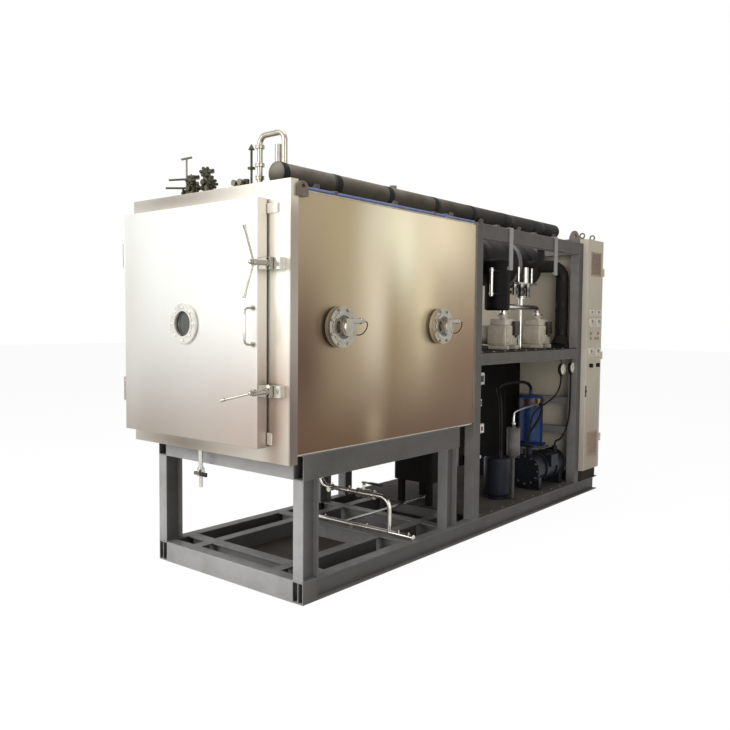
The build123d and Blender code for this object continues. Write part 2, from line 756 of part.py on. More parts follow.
with BuildPart() as chamber_flange:
    with BuildSketch(Plane.XZ.offset(-FLANGE_BACK_Y)):
        with Locations(((FLANGE_LEFT + FLANGE_RIGHT) / 2, (FLANGE_BOTTOM + FLANGE_TOP) / 2)):
            Rectangle(FLANGE_RIGHT - FLANGE_LEFT, FLANGE_TOP - FLANGE_BOTTOM)
        with Locations((OPENING_X, OPENING_Z)):
            RectangleRounded(OPENING_WIDTH, OPENING_HEIGHT, OPENING_RADIUS, mode=Mode.SUBTRACT)
    extrude(amount=FLANGE_THICK)
save(chamber_flange, "chamber_flange")

with BuildPart() as chamber_insulation:
    block((CLADDING_LEFT + CLADDING_SHEET, CLADDING_RIGHT - CLADDING_SHEET),
          (FLANGE_BACK_Y, CLADDING_BACK_Y - CLADDING_SHEET),
          (CLADDING_BOTTOM + CLADDING_SHEET, CLADDING_TOP - CLADDING_SHEET))
    with BuildSketch(Plane.XZ.offset(-VESSEL_BACK_Y)):
        with Locations((OPENING_X, OPENING_Z)):
            RectangleRounded(*vessel_size, OPENING_RADIUS + VESSEL_WALL)
    extrude(amount=VESSEL_BACK_Y - FLANGE_BACK_Y, mode=Mode.SUBTRACT)
    for port_y, port_z in PORT_CENTRES:
        rod((OPENING_RIGHT, port_y, port_z), (CLADDING_RIGHT, port_y, port_z),
            NOZZLE_OUTER + 2 * NOZZLE_GAP, mode=Mode.SUBTRACT)
    rod((CONDENSER_X, VESSEL_BACK_Y, DUCT_Z), (CONDENSER_X, CLADDING_BACK_Y, DUCT_Z),
        2 * (DUCT_RADIUS + NOZZLE_GAP), mode=Mode.SUBTRACT)
save(chamber_insulation, "chamber_insulation")

with BuildPart() as chamber_cladding:
    block((CLADDING_LEFT, CLADDING_RIGHT), (FLANGE_BACK_Y, CLADDING_BACK_Y),
          (CLADDING_BOTTOM, CLADDING_TOP))
    block((CLADDING_LEFT + CLADDING_SHEET, CLADDING_RIGHT - CLADDING_SHEET),
          (FLANGE_BACK_Y - 1, CLADDING_BACK_Y - CLADDING_SHEET),
          (CLADDING_BOTTOM + CLADDING_SHEET, CLADDING_TOP - CLADDING_SHEET), mode=Mode.SUBTRACT)
    for port_y, port_z in PORT_CENTRES:
        rod((OPENING_RIGHT, port_y, port_z), (CLADDING_RIGHT, port_y, port_z),
            NOZZLE_OUTER + 2 * NOZZLE_GAP, mode=Mode.SUBTRACT)
    rod((CONDENSER_X, VESSEL_BACK_Y, DUCT_Z), (CONDENSER_X, CLADDING_BACK_Y, DUCT_Z),
        2 * (DUCT_RADIUS + NOZZLE_GAP), mode=Mode.SUBTRACT)
save(chamber_cladding, "chamber_cladding")

shelf_levels = [SHELF_FIRST_Z + SHELF_PITCH * index for index in range(SHELF_COUNT)]
left_post_x = OPENING_LEFT + RACK_SIDE_GAP
right_post_x = OPENING_RIGHT - RACK_SIDE_GAP

with BuildPart() as drying_shelves:
    edge_gap = RACK_POST + SHELF_SIDE_GAP
    for level in shelf_levels:
        block((left_post_x + edge_gap, right_post_x - edge_gap), (SHELF_FRONT_Y, SHELF_BACK_Y),
              (level, level + DRYING_SHELF_THICK))
save(drying_shelves, "drying_shelves")

with BuildPart() as shelf_rack:
    for post_x, inward in ((left_post_x, 1), (right_post_x, -1)):
        for rack_y in RACK_Y:
            y_span = (rack_y - RACK_POST / 2, rack_y + RACK_POST / 2)
            block(sorted((post_x, post_x + inward * RACK_POST)), y_span, (OPENING_BOTTOM, OPENING_TOP))
            for level in shelf_levels:
                block(sorted((post_x, post_x + inward * (RACK_POST + RACK_PEG))), y_span,
                      (level - RACK_POST / 2, level))
save(shelf_rack, "shelf_rack")

# ================================================================ door
with BuildPart() as door_shell:
    with BuildSketch(Plane.XZ.offset(-DOOR_BACK_Y)):
        with Locations((OPENING_X, OPENING_Z)):
            Rectangle(DOOR_WIDTH, DOOR_HEIGHT)
    extrude(amount=DOOR_THICK)
    fillet(door_shell.edges().filter_by(Axis.Y), DOOR_EDGE)
    chamfer(door_shell.faces().sort_by(Axis.Y)[0].edges(), DOOR_EDGE / 2)
    rod((WINDOW_X, DOOR_FRONT_Y, WINDOW_Z), (WINDOW_X, DOOR_FRONT_Y + GLASS_THICK, WINDOW_Z),
        WINDOW_BORE, mode=Mode.SUBTRACT)
    rod((WINDOW_X, DOOR_FRONT_Y, WINDOW_Z), (WINDOW_X, DOOR_BACK_Y, WINDOW_Z),
        WINDOW_STEP, mode=Mode.SUBTRACT)
save(door_shell, "door_shell")

with BuildPart() as door_seal:
    inner = (OPENING_WIDTH + 2 * SEAL_INNER_MARGIN, OPENING_HEIGHT + 2 * SEAL_INNER_MARGIN)
    with BuildSketch(Plane.XZ.offset(-DOOR_BACK_Y)):
        with Locations((OPENING_X, OPENING_Z)):
            RectangleRounded(inner[0] + 2 * SEAL_WIDTH, inner[1] + 2 * SEAL_WIDTH, 2 * SEAL_WIDTH)
            RectangleRounded(*inner, SEAL_WIDTH, mode=Mode.SUBTRACT)
    extrude(amount=-SEAL_THICK)
save(door_seal, "door_seal")

with BuildPart() as window_ring:
    ring_front_y = DOOR_FRONT_Y - WINDOW_RING_THICK
    with BuildSketch(Plane.XZ.offset(-DOOR_FRONT_Y)):
        with Locations((WINDOW_X, WINDOW_Z)):
            Circle(WINDOW_RING / 2)
            Circle(WINDOW_CLEAR / 2, mode=Mode.SUBTRACT)
    extrude(amount=WINDOW_RING_THICK)
    chamfer(window_ring.edges().filter_by(GeomType.CIRCLE).group_by(Axis.Y)[0], 3)
    with BuildSketch(Plane.XZ.offset(-ring_front_y)):
        with Locations((WINDOW_X, WINDOW_Z)):
            with PolarLocations((WINDOW_RING + WINDOW_CLEAR) / 4, BOLT_COUNT):
                RegularPolygon(BOLT_HEAD / 2, 6)
    extrude(amount=BOLT_HEAD_HIGH)
save(window_ring, "window_ring")

with BuildPart() as window_glass:
    rod((WINDOW_X, DOOR_FRONT_Y, WINDOW_Z), (WINDOW_X, DOOR_FRONT_Y + GLASS_THICK, WINDOW_Z),
        WINDOW_BORE - 2 * GLASS_EDGE_GAP)
save(window_glass, "window_glass")

with BuildPart() as grab_handle:
    grip_y = DOOR_FRONT_Y - GRAB_REACH
    pipe([(GRAB_X, DOOR_FRONT_Y, GRAB_LOW_Z), (GRAB_X, grip_y, GRAB_LOW_Z),
          (GRAB_X, grip_y, GRAB_HIGH_Z), (GRAB_X, DOOR_FRONT_Y, GRAB_HIGH_Z)], GRAB_ROD, 2 * GRAB_ROD)
    for foot_z in (GRAB_LOW_Z, GRAB_HIGH_Z):
        rod((GRAB_X, DOOR_FRONT_Y, foot_z), (GRAB_X, DOOR_FRONT_Y - GRAB_ROD / 2, foot_z), GRAB_FOOT)
save(grab_handle, "grab_handle")

with BuildPart() as hinge_brackets:
    for hinge_z in HINGE_Z:
        block((FLANGE_LEFT - HINGE_BACKPLATE, FLANGE_LEFT), (FLANGE_FRONT_Y, FLANGE_BACK_Y),
              (hinge_z - 2 * HINGE_HALF, hinge_z + 2 * HINGE_HALF))
        for low in (hinge_z - HINGE_HALF - HINGE_EAR, hinge_z + HINGE_HALF):
            block((HINGE_AXIS_X - HINGE_KNUCKLE / 2, FLANGE_LEFT), (HINGE_AXIS_Y, FLANGE_BACK_Y),
                  (low, low + HINGE_EAR))
            rod((HINGE_AXIS_X, HINGE_AXIS_Y, low), (HINGE_AXIS_X, HINGE_AXIS_Y, low + HINGE_EAR),
                HINGE_KNUCKLE)
        pin_half = HINGE_HALF + HINGE_EAR + HINGE_PIN / 4
        rod((HINGE_AXIS_X, HINGE_AXIS_Y, hinge_z - pin_half),
            (HINGE_AXIS_X, HINGE_AXIS_Y, hinge_z + pin_half), HINGE_PIN)
save(hinge_brackets, "hinge_brackets")

with BuildPart() as hinge_leaves:
    leaf_half = HINGE_HALF - HINGE_PLAY
    for hinge_z in HINGE_Z:
        block((HINGE_AXIS_X, DOOR_LEFT), (HINGE_AXIS_Y - LEAF_THICK / 2, HINGE_AXIS_Y + LEAF_THICK / 2),
              (hinge_z - leaf_half, hinge_z + leaf_half))
        rod((HINGE_AXIS_X, HINGE_AXIS_Y, hinge_z - leaf_half),
            (HINGE_AXIS_X, HINGE_AXIS_Y, hinge_z + leaf_half), HINGE_KNUCKLE)
        rod((HINGE_AXIS_X, HINGE_AXIS_Y, hinge_z - leaf_half),
            (HINGE_AXIS_X, HINGE_AXIS_Y, hinge_z + leaf_half), HINGE_PIN + 2 * HINGE_FIT,
            mode=Mode.SUBTRACT)
save(hinge_leaves, "hinge_leaves")

with BuildPart() as latch_bearings:
    for latch_z in (LATCH_LOWER_Z, LATCH_UPPER_Z):
        block((DOOR_RIGHT, LATCH_BLOCK_RIGHT), (LATCH_BLOCK_FRONT_Y, LATCH_BLOCK_BACK_Y),
              (latch_z - LATCH_BLOCK_HALF, latch_z + LATCH_BLOCK_HALF))
        rod((LATCH_X, LATCH_BLOCK_FRONT_Y, latch_z), (LATCH_X, LATCH_BLOCK_BACK_Y, latch_z),
            SPINDLE + 2 * SPINDLE_FIT, mode=Mode.SUBTRACT)
save(latch_bearings, "latch_bearings")


def build_latch(latch_z, arm_angle, claw_angle):
    """Latch in one piece: spindle, hub, two leaning arms in front and a claw behind."""
    arm_lean = Vector(0, -1, 0).rotate(Axis.X, LATCH_ARM_LEAN)
    with BuildPart() as latch:
        rod((LATCH_X, LATCH_FRONT_Y, latch_z), (LATCH_X, CLAW_FRONT_Y + CLAW_THICK, latch_z), SPINDLE)
        rod((LATCH_X, LATCH_FRONT_Y, latch_z), (LATCH_X, LATCH_BLOCK_FRONT_Y - HUB_CLEAR, latch_z),
            LATCH_HUB)
        root = Vector(LATCH_X, LATCH_ARM_Y, latch_z)
        for angle in (arm_angle, arm_angle + 180):
            outward = Vector(1, 0, 0).rotate(Axis.Y, -angle)
            tip = root + outward * (LATCH_ARM * abs(arm_lean.Y)) - Vector(0, LATCH_ARM * abs(arm_lean.Z), 0)
            rod(tuple(root), tuple(tip), LATCH_ARM_ROD)
            half_grip = (tip - root).normalized() * LATCH_GRIP / 2
            rod(tuple(tip - half_grip), tuple(tip + half_grip), LATCH_GRIP_DIAMETER)
        with BuildSketch(Plane.XZ.offset(-CLAW_FRONT_Y - CLAW_THICK)) as claw:
            with Locations(Location((LATCH_X, latch_z, 0), (0, 0, claw_angle))):
                with Locations((CLAW_REACH / 2, 0)):
                    Rectangle(CLAW_REACH, CLAW_WIDTH)
                Circle(CLAW_WIDTH / 2 + CLAW_BOSS_RIM)
        extrude(claw.sketch, amount=CLAW_THICK)
    return latch


save(build_latch(LATCH_UPPER_Z, 90, 180), "latch_upper")
save(build_latch(LATCH_LOWER_Z, 15, 90), "latch_lower")

with BuildPart() as keeper_brackets:
    for latch_z in (LATCH_LOWER_Z, LATCH_UPPER_Z):
        z_span = (latch_z - LATCH_BLOCK_HALF, latch_z + LATCH_BLOCK_HALF)
        block((KEEPER_LEG_LEFT, KEEPER_RIGHT), (KEEPER_LIP_FRONT_Y, FLANGE_FRONT_Y), z_span)
        block((KEEPER_LIP_LEFT, KEEPER_RIGHT),
              (KEEPER_LIP_FRONT_Y, KEEPER_LIP_FRONT_Y + KEEPER_LIP_THICK), z_span)
    for x_span, z_span in (UPPER_STOP, LOWER_STOP):
        block(x_span, (FLANGE_FRONT_Y - DOOR_STOP_THICK, FLANGE_FRONT_Y), z_span)
save(keeper_brackets, "keeper_brackets")

# ================================================================ side ports
with BuildPart() as port_glasses:
    for port_y, port_z in PORT_CENTRES:
        rod((NOZZLE_END_X, port_y, port_z), (NOZZLE_END_X + PORT_CLAMP_THICK, port_y, port_z), PORT_GLASS)
save(port_glasses, "port_glasses")

with BuildPart() as port_lamps:
    clamp_x = NOZZLE_END_X + PORT_CLAMP_THICK
    lamp_x = clamp_x + LAMP_LENGTH
    bar_reach = NOZZLE_OUTER * LAMP_BAR_SHARE
    for port_y, port_z in PORT_CENTRES:
        rod((NOZZLE_END_X, port_y, port_z), (clamp_x, port_y, port_z), PORT_FLANGE)
        rod((NOZZLE_END_X, port_y, port_z), (clamp_x, port_y, port_z), NOZZLE_OUTER, mode=Mode.SUBTRACT)
        for bar_z in (port_z - NOZZLE_OUTER / 4, port_z + NOZZLE_OUTER / 4):
            block((clamp_x, clamp_x + LAMP_BAR_THICK), (port_y - bar_reach, port_y + bar_reach),
                  (bar_z - LAMP_BAR_HALF, bar_z + LAMP_BAR_HALF))
        rod((clamp_x + LAMP_SINK, port_y, port_z), (lamp_x, port_y, port_z), LAMP_HOUSING)
        arm_z = port_z + LAMP_ARM_RISE
        arm_x = lamp_x - LAMP_SINK
        rod((arm_x, port_y - LAMP_ARM_TAIL, arm_z), (arm_x, port_y + LAMP_ARM_REACH, arm_z), LAMP_ARM)
save(port_lamps, "port_lamps")

# ================================================================ lifting points
with BuildPart() as lifting_lugs:
    for side, edge_x in ((1, FLANGE_RIGHT), (-1, FLANGE_LEFT)):
        outer_x = edge_x + side * LUG_THICK
        with BuildSketch(Plane.YZ.offset(min(edge_x, outer_x))) as front_lug:
            with Locations((FRONT_LUG_Y, CLADDING_TOP)):
                Circle(FRONT_LUG_RADIUS)
                with Locations((0, -FRONT_LUG_RADIUS / 2)):
                    Rectangle(2 * FRONT_LUG_RADIUS, FRONT_LUG_RADIUS)
                with Locations((0, FRONT_LUG_RADIUS / 3)):
                    Circle(FRONT_LUG_HOLE / 2, mode=Mode.SUBTRACT)
        extrude(front_lug.sketch, amount=LUG_THICK)
        rear_x = side * (SKID_RIGHT - LUG_THICK)
        with BuildSketch(Plane.YZ.offset(rear_x - LUG_THICK / 2)) as rear_lug:
            with Locations((REAR_LUG_Y, FRAME_TOP)):
                Circle(REAR_LUG_RADIUS)
                with Locations((0, -REAR_LUG_RADIUS)):
                    Rectangle(2 * REAR_LUG_RADIUS, 2 * REAR_LUG_RADIUS, mode=Mode.SUBTRACT)
                with Locations((0, REAR_LUG_RADIUS / 2)):
                    Circle(LUG_HOLE / 2, mode=Mode.SUBTRACT)
        extrude(rear_lug.sketch, amount=LUG_THICK)
    for eye_x in (CABINET_LEFT + EYE_INSET, CABINET_RIGHT - EYE_INSET):
        for eye_y in (CABINET_FRONT_Y + EYE_INSET, CABINET_BACK_Y - EYE_INSET):
            rod((eye_x, eye_y, CABINET_TOP), (eye_x, eye_y, CABINET_TOP + EYE_COLLAR_HIGH), EYE_COLLAR)
            with Locations(Plane(origin=(eye_x, eye_y, CABINET_TOP + EYE_CENTRE_RISE), z_dir=(0, 1, 0))):
                Torus(EYE_RADIUS, EYE_ROD_RADIUS)
save(lifting_lugs, "lifting_lugs")

# ================================================================ pipework on the roof
top_axis = ((TOP_PIPE_X, TOP_PIPE_FRONT_Y, TOP_PIPE_Z), (TOP_PIPE_X, TOP_PIPE_BACK_Y, TOP_PIPE_Z))


def cut_round(axis, radius):
    """Trim whatever has been built back from a round pipe, by the contact gap."""
    rod(*axis, 2 * (radius + CONTACT_GAP), mode=Mode.SUBTRACT)


condenser_axis = ((CONDENSER_X, CONDENSER_FRONT_Y, CONDENSER_Z),
                  (CONDENSER_X, CONDENSER_BACK_Y, CONDENSER_Z))

with BuildPart() as insulated_top_pipe:
    rod(*top_axis, 2 * TOP_PIPE_RADIUS)
    fillet(insulated_top_pipe.edges().sort_by(Axis.Y)[-1], TOP_PIPE_END_ROUND)
    pipe([(TOP_PIPE_X, DROP_Y, TOP_PIPE_Z), (TOP_PIPE_X, DROP_Y, CONDENSER_Z),
          (CONDENSER_X + CONDENSER_RADIUS / 2, DROP_Y, CONDENSER_Z)], DROP_PIPE, DROP_PIPE)
    cut_round(condenser_axis, CONDENSER_RADIUS)
    rod((TOP_PIPE_X, TOP_STUB_Y, TOP_PIPE_Z),
        (TOP_PIPE_X, TOP_STUB_Y, TOP_PIPE_Z + TOP_PIPE_RADIUS + TOP_STUB_RISE), TOP_STUB)
save(insulated_top_pipe, "insulated_top_pipe")

with BuildPart() as pipe_supports:
    for base_z, places in ((CLADDING_TOP, SADDLE_Y), (FRAME_TOP, BAY_SADDLE_Y)):
        for saddle_y in places:
            y_span = (saddle_y - SADDLE_WIDTH / 2, saddle_y + SADDLE_WIDTH / 2)
            low_z = base_z if base_z == CLADDING_TOP else FRAME_TOP - BAY_SADDLE_DROP
            block((TOP_PIPE_X - TOP_PIPE_RADIUS, TOP_PIPE_X + TOP_PIPE_RADIUS), y_span,
                  (low_z, TOP_PIPE_Z - TOP_PIPE_RADIUS / 2))
            if base_z == FRAME_TOP:
                block((TOP_PIPE_X, SKID_RIGHT), y_span, (FRAME_TOP, FRAME_TOP + BAY_SADDLE_ARM))
    cut_round(top_axis, TOP_PIPE_RADIUS)
    for clamp_y in AIR_CLAMP_Y:
        low_y, high_y = clamp_y - AIR_CLAMP_HALF_Y, clamp_y + AIR_CLAMP_HALF_Y
        block((AIR_LINE_X - AIR_CLAMP_HALF_X, AIR_LINE_X + AIR_CLAMP_HALF_X), (low_y, high_y),
              (CLADDING_TOP, AIR_LINE_Z + AIR_LINE / 2 + AIR_CLAMP_RISE))
        rod((AIR_LINE_X, low_y - 1, AIR_LINE_Z), (AIR_LINE_X, high_y + 1, AIR_LINE_Z),
            AIR_LINE + 2 * CONTACT_GAP, mode=Mode.SUBTRACT)
save(pipe_supports, "pipe_supports")

with BuildPart() as u_pipe:
    pipe([(U_LEFT_X, FITTINGS_Y, CLADDING_TOP), (U_LEFT_X, FITTINGS_Y, U_TOP_Z),
          (U_RIGHT_X, FITTINGS_Y, U_TOP_Z), (U_RIGHT_X, FITTINGS_Y, TOP_PIPE_Z)], U_PIPE,
         U_BEND_SHARE * U_PIPE)
    for collar_z, collar_size in ((CLADDING_TOP, U_FOOT_COLLAR), *U_COLLAR_PLACES):
        rod((U_LEFT_X, FITTINGS_Y, collar_z), (U_LEFT_X, FITTINGS_Y, collar_z + U_COLLAR_HIGH), collar_size)
    rod((U_SLEEVE_X, FITTINGS_Y, TOP_PIPE_Z), (U_SLEEVE_X, FITTINGS_Y, U_SLEEVE_TOP_Z), U_SLEEVE)
    cut_round(top_axis, TOP_PIPE_RADIUS)
save(u_pipe, "u_pipe")

with BuildPart() as top_valves:
    rod((T_VALVE_X, FITTINGS_Y, CLADDING_TOP), (T_VALVE_X, FITTINGS_Y, T_BODY_TOP_Z), T_BODY)
    rod((T_VALVE_X, FITTINGS_Y, T_BRANCH_Z), (T_BRANCH_END_X, FITTINGS_Y, T_BRANCH_Z), T_BRANCH)
    for body_x, low_z, high_z in VALVE_PLACES:
        gland_z = high_z - VALVE_GLAND_DROP
        rod((body_x, FITTINGS_Y, CLADDING_TOP), (body_x, FITTINGS_Y, high_z), VALVE_STEM)
        rod((body_x, FITTINGS_Y, low_z + VALVE_BODY_INSET), (body_x, FITTINGS_Y, high_z - VALVE_BODY_INSET),
            VALVE_BODY)
        rod((body_x, FITTINGS_Y - VALVE_GLAND_REACH, gland_z), (body_x, FITTINGS_Y, gland_z), VALVE_GLAND)
        rod((body_x, FITTINGS_Y, high_z), (body_x, FITTINGS_Y, high_z + VALVE_WHEEL_THICK), VALVE_WHEEL)
    sample_y = FITTINGS_Y - SAMPLE_PIPE_REACH
    for (start_x, start_z), (end_x, end_z) in (SAMPLE_LOW, SAMPLE_HIGH):
        rod((start_x, sample_y, start_z), (end_x, sample_y, end_z), SAMPLE_PIPE)
    boss_x, boss_z = SAMPLE_HIGH[0]
    rod((boss_x, FITTINGS_Y - SAMPLE_BOSS_REACH[0], boss_z),
        (boss_x, FITTINGS_Y - SAMPLE_BOSS_REACH[1], boss_z), SAMPLE_BOSS)
    for knob_x in KNOB_X:
        rod((knob_x, FITTINGS_Y, CLADDING_TOP), (knob_x, FITTINGS_Y, KNOB_Z), KNOB_STEM)
        rod((knob_x, FITTINGS_Y, KNOB_Z - KNOB_BODY_HALF), (knob_x, FITTINGS_Y, KNOB_Z + KNOB_BODY_HALF),
            KNOB_BODY)
    rod((KNOB_X[0], FITTINGS_Y, BLEED_PIPE_Z), (BLEED_PIPE_END_X, FITTINGS_Y, BLEED_PIPE_Z), BLEED_PIPE)
    rod((VENT_X, FITTINGS_Y, CLADDING_TOP), (VENT_X, FITTINGS_Y, VENT_TOP_Z), VENT_PIPE)
    rod((VENT_X, FITTINGS_Y, VENT_COLLAR_SPAN[0]), (VENT_X, FITTINGS_Y, VENT_COLLAR_SPAN[1]), VENT_COLLAR)
    cone((VENT_X, FITTINGS_Y, VENT_CAP_SPAN[0]), (VENT_X, FITTINGS_Y, VENT_CAP_SPAN[1]), VENT_CAP,
         VENT_CAP_POINT)
save(top_valves, "top_valves")

with BuildPart() as t_handle:
    rod((T_VALVE_X, FITTINGS_Y, T_BODY_TOP_Z + CONTACT_GAP), (T_VALVE_X, FITTINGS_Y, T_BAR_Z), T_STEM)
    rod((T_VALVE_X - T_BAR_HALF, FITTINGS_Y, T_BAR_Z), (T_VALVE_X + T_BAR_HALF, FITTINGS_Y, T_BAR_Z), T_BAR)
save(t_handle, "t_handle")

for knob_name, knob_x in zip(("vent_knob_left", "vent_knob_right"), KNOB_X):
    with BuildPart() as vent_knob:
        stem_start = FITTINGS_Y - KNOB_BODY / 2 - CONTACT_GAP
        rod((knob_x, stem_start, KNOB_Z), (knob_x, stem_start - KNOB_SPINDLE_LENGTH, KNOB_Z), KNOB_SPINDLE)
        rod((knob_x, stem_start - KNOB_START, KNOB_Z), (knob_x, stem_start - KNOB_END, KNOB_Z), KNOB_SIZE)
    save(vent_knob, knob_name)

with BuildPart() as air_line:
    fitting_x = (AIR_LINE_X - AIR_FITTING_LEFT, AIR_LINE_X + AIR_FITTING_RIGHT)
    joiner_front, joiner_back = AIR_JOINER_SPAN
    rod((AIR_LINE_X, AIR_LINE_FRONT_Y, AIR_LINE_Z), (AIR_LINE_X, joiner_front, AIR_LINE_Z), AIR_LINE)
    block(fitting_x, AIR_JOINER_SPAN, (CLADDING_TOP, AIR_LINE_Z + AIR_JOINER_RISE))
    rod((AIR_LINE_X, joiner_back, AIR_LINE_Z), (AIR_LINE_X, AIR_LINE_BACK_Y, AIR_LINE_Z),
        AIR_LINE - AIR_LINE_STEP)
    block(fitting_x, (AIR_LINE_FRONT_Y - AIR_END_LENGTH, AIR_LINE_FRONT_Y),
          (CLADDING_TOP, AIR_LINE_Z + AIR_END_RISE))
save(air_line, "air_line")

# ================================================================ upper machine bay
with BuildPart() as ice_condenser:
    rod(*condenser_axis, 2 * CONDENSER_RADIUS)
    fillet(ice_condenser.edges().sort_by(Axis.Y)[-1], TOP_PIPE_END_ROUND)
    rod((CONDENSER_X, VESSEL_BACK_Y, DUCT_Z), (CONDENSER_X, CONDENSER_FRONT_Y + 1, DUCT_Z), 2 * DUCT_RADIUS)
    rod((CONDENSER_X, VESSEL_BACK_Y, DUCT_Z), (CONDENSER_X, CONDENSER_FRONT_Y, DUCT_Z),
        2 * DUCT_RADIUS - 2 * VESSEL_WALL, mode=Mode.SUBTRACT)
save(ice_condenser, "ice_condenser")

with BuildPart() as condenser_straps:
    band_radius = FRAME_TOP - CONDENSER_Z + STRAP_THICK / 2
    for strap_y in STRAP_Y:
        y_span = (strap_y - STRAP_WIDTH / 2, strap_y + STRAP_WIDTH / 2)
        with BuildSketch(Plane.XZ.offset(-y_span[1])) as band:
            with Locations((CONDENSER_X, CONDENSER_Z)):
                Circle(band_radius)
                Circle(CONDENSER_RADIUS + CONTACT_GAP, mode=Mode.SUBTRACT)
        extrude(band.sketch, amount=STRAP_WIDTH)
        block((-SKID_RIGHT - STRAP_THICK, SKID_RIGHT + STRAP_THICK), y_span,
              (FRAME_TOP, FRAME_TOP + STRAP_THICK))
        for side in (-1, 1):
            block(sorted((side * SKID_RIGHT, side * (SKID_RIGHT + STRAP_THICK))), y_span,
                  (STRAP_DROP_BOTTOM, FRAME_TOP + STRAP_THICK / 2))
            block(sorted((side * (SKID_RIGHT - STRAP_HOOK_DEEP), side * (SKID_RIGHT + STRAP_THICK))), y_span,
                  (STRAP_DROP_BOTTOM - STRAP_HOOK_HIGH, STRAP_DROP_BOTTOM))
save(condenser_straps, "condenser_straps")

with BuildPart() as expansion_tank:
    rod((TANK_X, TANK_Y, TANK_SPAN[0]), (TANK_X, TANK_Y, TANK_SPAN[1]), 2 * TANK_RADIUS)
    fillet(expansion_tank.edges().filter_by(GeomType.CIRCLE), TANK_ROUND)
    rod((TANK_X, TANK_Y, TANK_OUTLET_Z), (CONDENSER_X + CONDENSER_RADIUS / 2, TANK_Y, TANK_OUTLET_Z),
        TANK_OUTLET)
    cut_round(condenser_axis, CONDENSER_RADIUS)
    for arm_z in LEVEL_ARM_Z:
        rod((LEVEL_GLASS_X, LEVEL_GLASS_Y, arm_z), (LEVEL_GLASS_X, TANK_Y - LEVEL_ARM_SINK, arm_z), LEVEL_ARM)
    rod((LEVEL_GLASS_X, LEVEL_GLASS_Y, LEVEL_GLASS_SPAN[0]),
        (LEVEL_GLASS_X, LEVEL_GLASS_Y, LEVEL_GLASS_SPAN[1]), LEVEL_GLASS)
save(expansion_tank, "expansion_tank")

with BuildPart() as vacuum_pumps:
    case_low, case_high = PUMP_CASE_SPAN
    flange_low = PUMP_INLET_Z - PUMP_INLET_FLANGE_HIGH
    for pump_y in PUMP_Y:
        left_y, right_y = pump_y - PUMP_WIDTH / 2, pump_y + PUMP_WIDTH / 2
        block((PUMP_BACK_X, PUMP_FRONT_X), (left_y, right_y), PUMP_CASE_SPAN)
        rod((PUMP_BACK_X - PUMP_MOTOR_REACH, pump_y, PUMP_MOTOR_Z),
            (PUMP_FRONT_X - PUMP_MOTOR_SINK, pump_y, PUMP_MOTOR_Z), PUMP_MOTOR)
        block((PUMP_BACK_X + PUMP_TOP_INSET_X[0], PUMP_FRONT_X - PUMP_TOP_INSET_X[1]),
              (left_y + PUMP_TOP_INSET, right_y - PUMP_TOP_INSET), (case_high - 1, PUMP_TOP_Z))
        rod((PUMP_INLET_X, pump_y, PUMP_TOP_Z - 1), (PUMP_INLET_X, pump_y, flange_low + 1), PUMP_NECK)
        rod((PUMP_INLET_X, pump_y, flange_low), (PUMP_INLET_X, pump_y, PUMP_INLET_Z), PUMP_INLET_FLANGE)
        for foot_y in (left_y + PUMP_FOOT_INSET, right_y - PUMP_FOOT_INSET):
            block((PUMP_BACK_X + PUMP_FOOT_REACH[0], PUMP_FRONT_X + PUMP_FOOT_REACH[1]),
                  (foot_y - PUMP_FOOT_HALF, foot_y + PUMP_FOOT_HALF), (SHELF_TOP, case_low + 1))
        for rib in range(PUMP_RIB_COUNT):
            rib_y = left_y + PUMP_RIB_START + PUMP_RIB_PITCH * rib
            block((PUMP_FRONT_X - 1, PUMP_FRONT_X + PUMP_RIB_PROUD), (rib_y, rib_y + PUMP_RIB_WIDTH),
                  PUMP_RIB_SPAN)
        block((PUMP_FRONT_X - 2, PUMP_FRONT_X + TERMINAL_PROUD),
              (right_y - TERMINAL_FROM_EDGE[0], right_y - TERMINAL_FROM_EDGE[1]), TERMINAL_SPAN)
save(vacuum_pumps, "vacuum_pumps")

with BuildPart() as vacuum_manifold:
    front_y, rear_y = PUMP_Y
    pipe([(PUMP_INLET_X, front_y, PUMP_INLET_Z), (PUMP_INLET_X, front_y, MANIFOLD_Z),
          (PUMP_INLET_X, rear_y, MANIFOLD_Z), (PUMP_INLET_X, rear_y, PUMP_INLET_Z)],
         MANIFOLD_PIPE, MANIFOLD_PIPE)
    for pump_y in PUMP_Y:
        rod((PUMP_INLET_X, pump_y, PUMP_INLET_Z),
            (PUMP_INLET_X, pump_y, PUMP_INLET_Z + MANIFOLD_FLANGE_HIGH), MANIFOLD_FLANGE)
    rod((PUMP_INLET_X, VALVE_Y, MANIFOLD_Z), (PUMP_INLET_X, VALVE_Y, MANIFOLD_TOP_Z), MANIFOLD_NECK)
    rod((PUMP_INLET_X, VALVE_Y, MANIFOLD_TOP_Z - MANIFOLD_TOP_FLANGE_HIGH),
        (PUMP_INLET_X, VALVE_Y, MANIFOLD_TOP_Z), MANIFOLD_TOP_FLANGE)
    rod((PUMP_INLET_X, VALVE_Y, SHELF_TOP), (PUMP_INLET_X, VALVE_Y, MANIFOLD_Z), MANIFOLD_PROP)
save(vacuum_manifold, "vacuum_manifold")

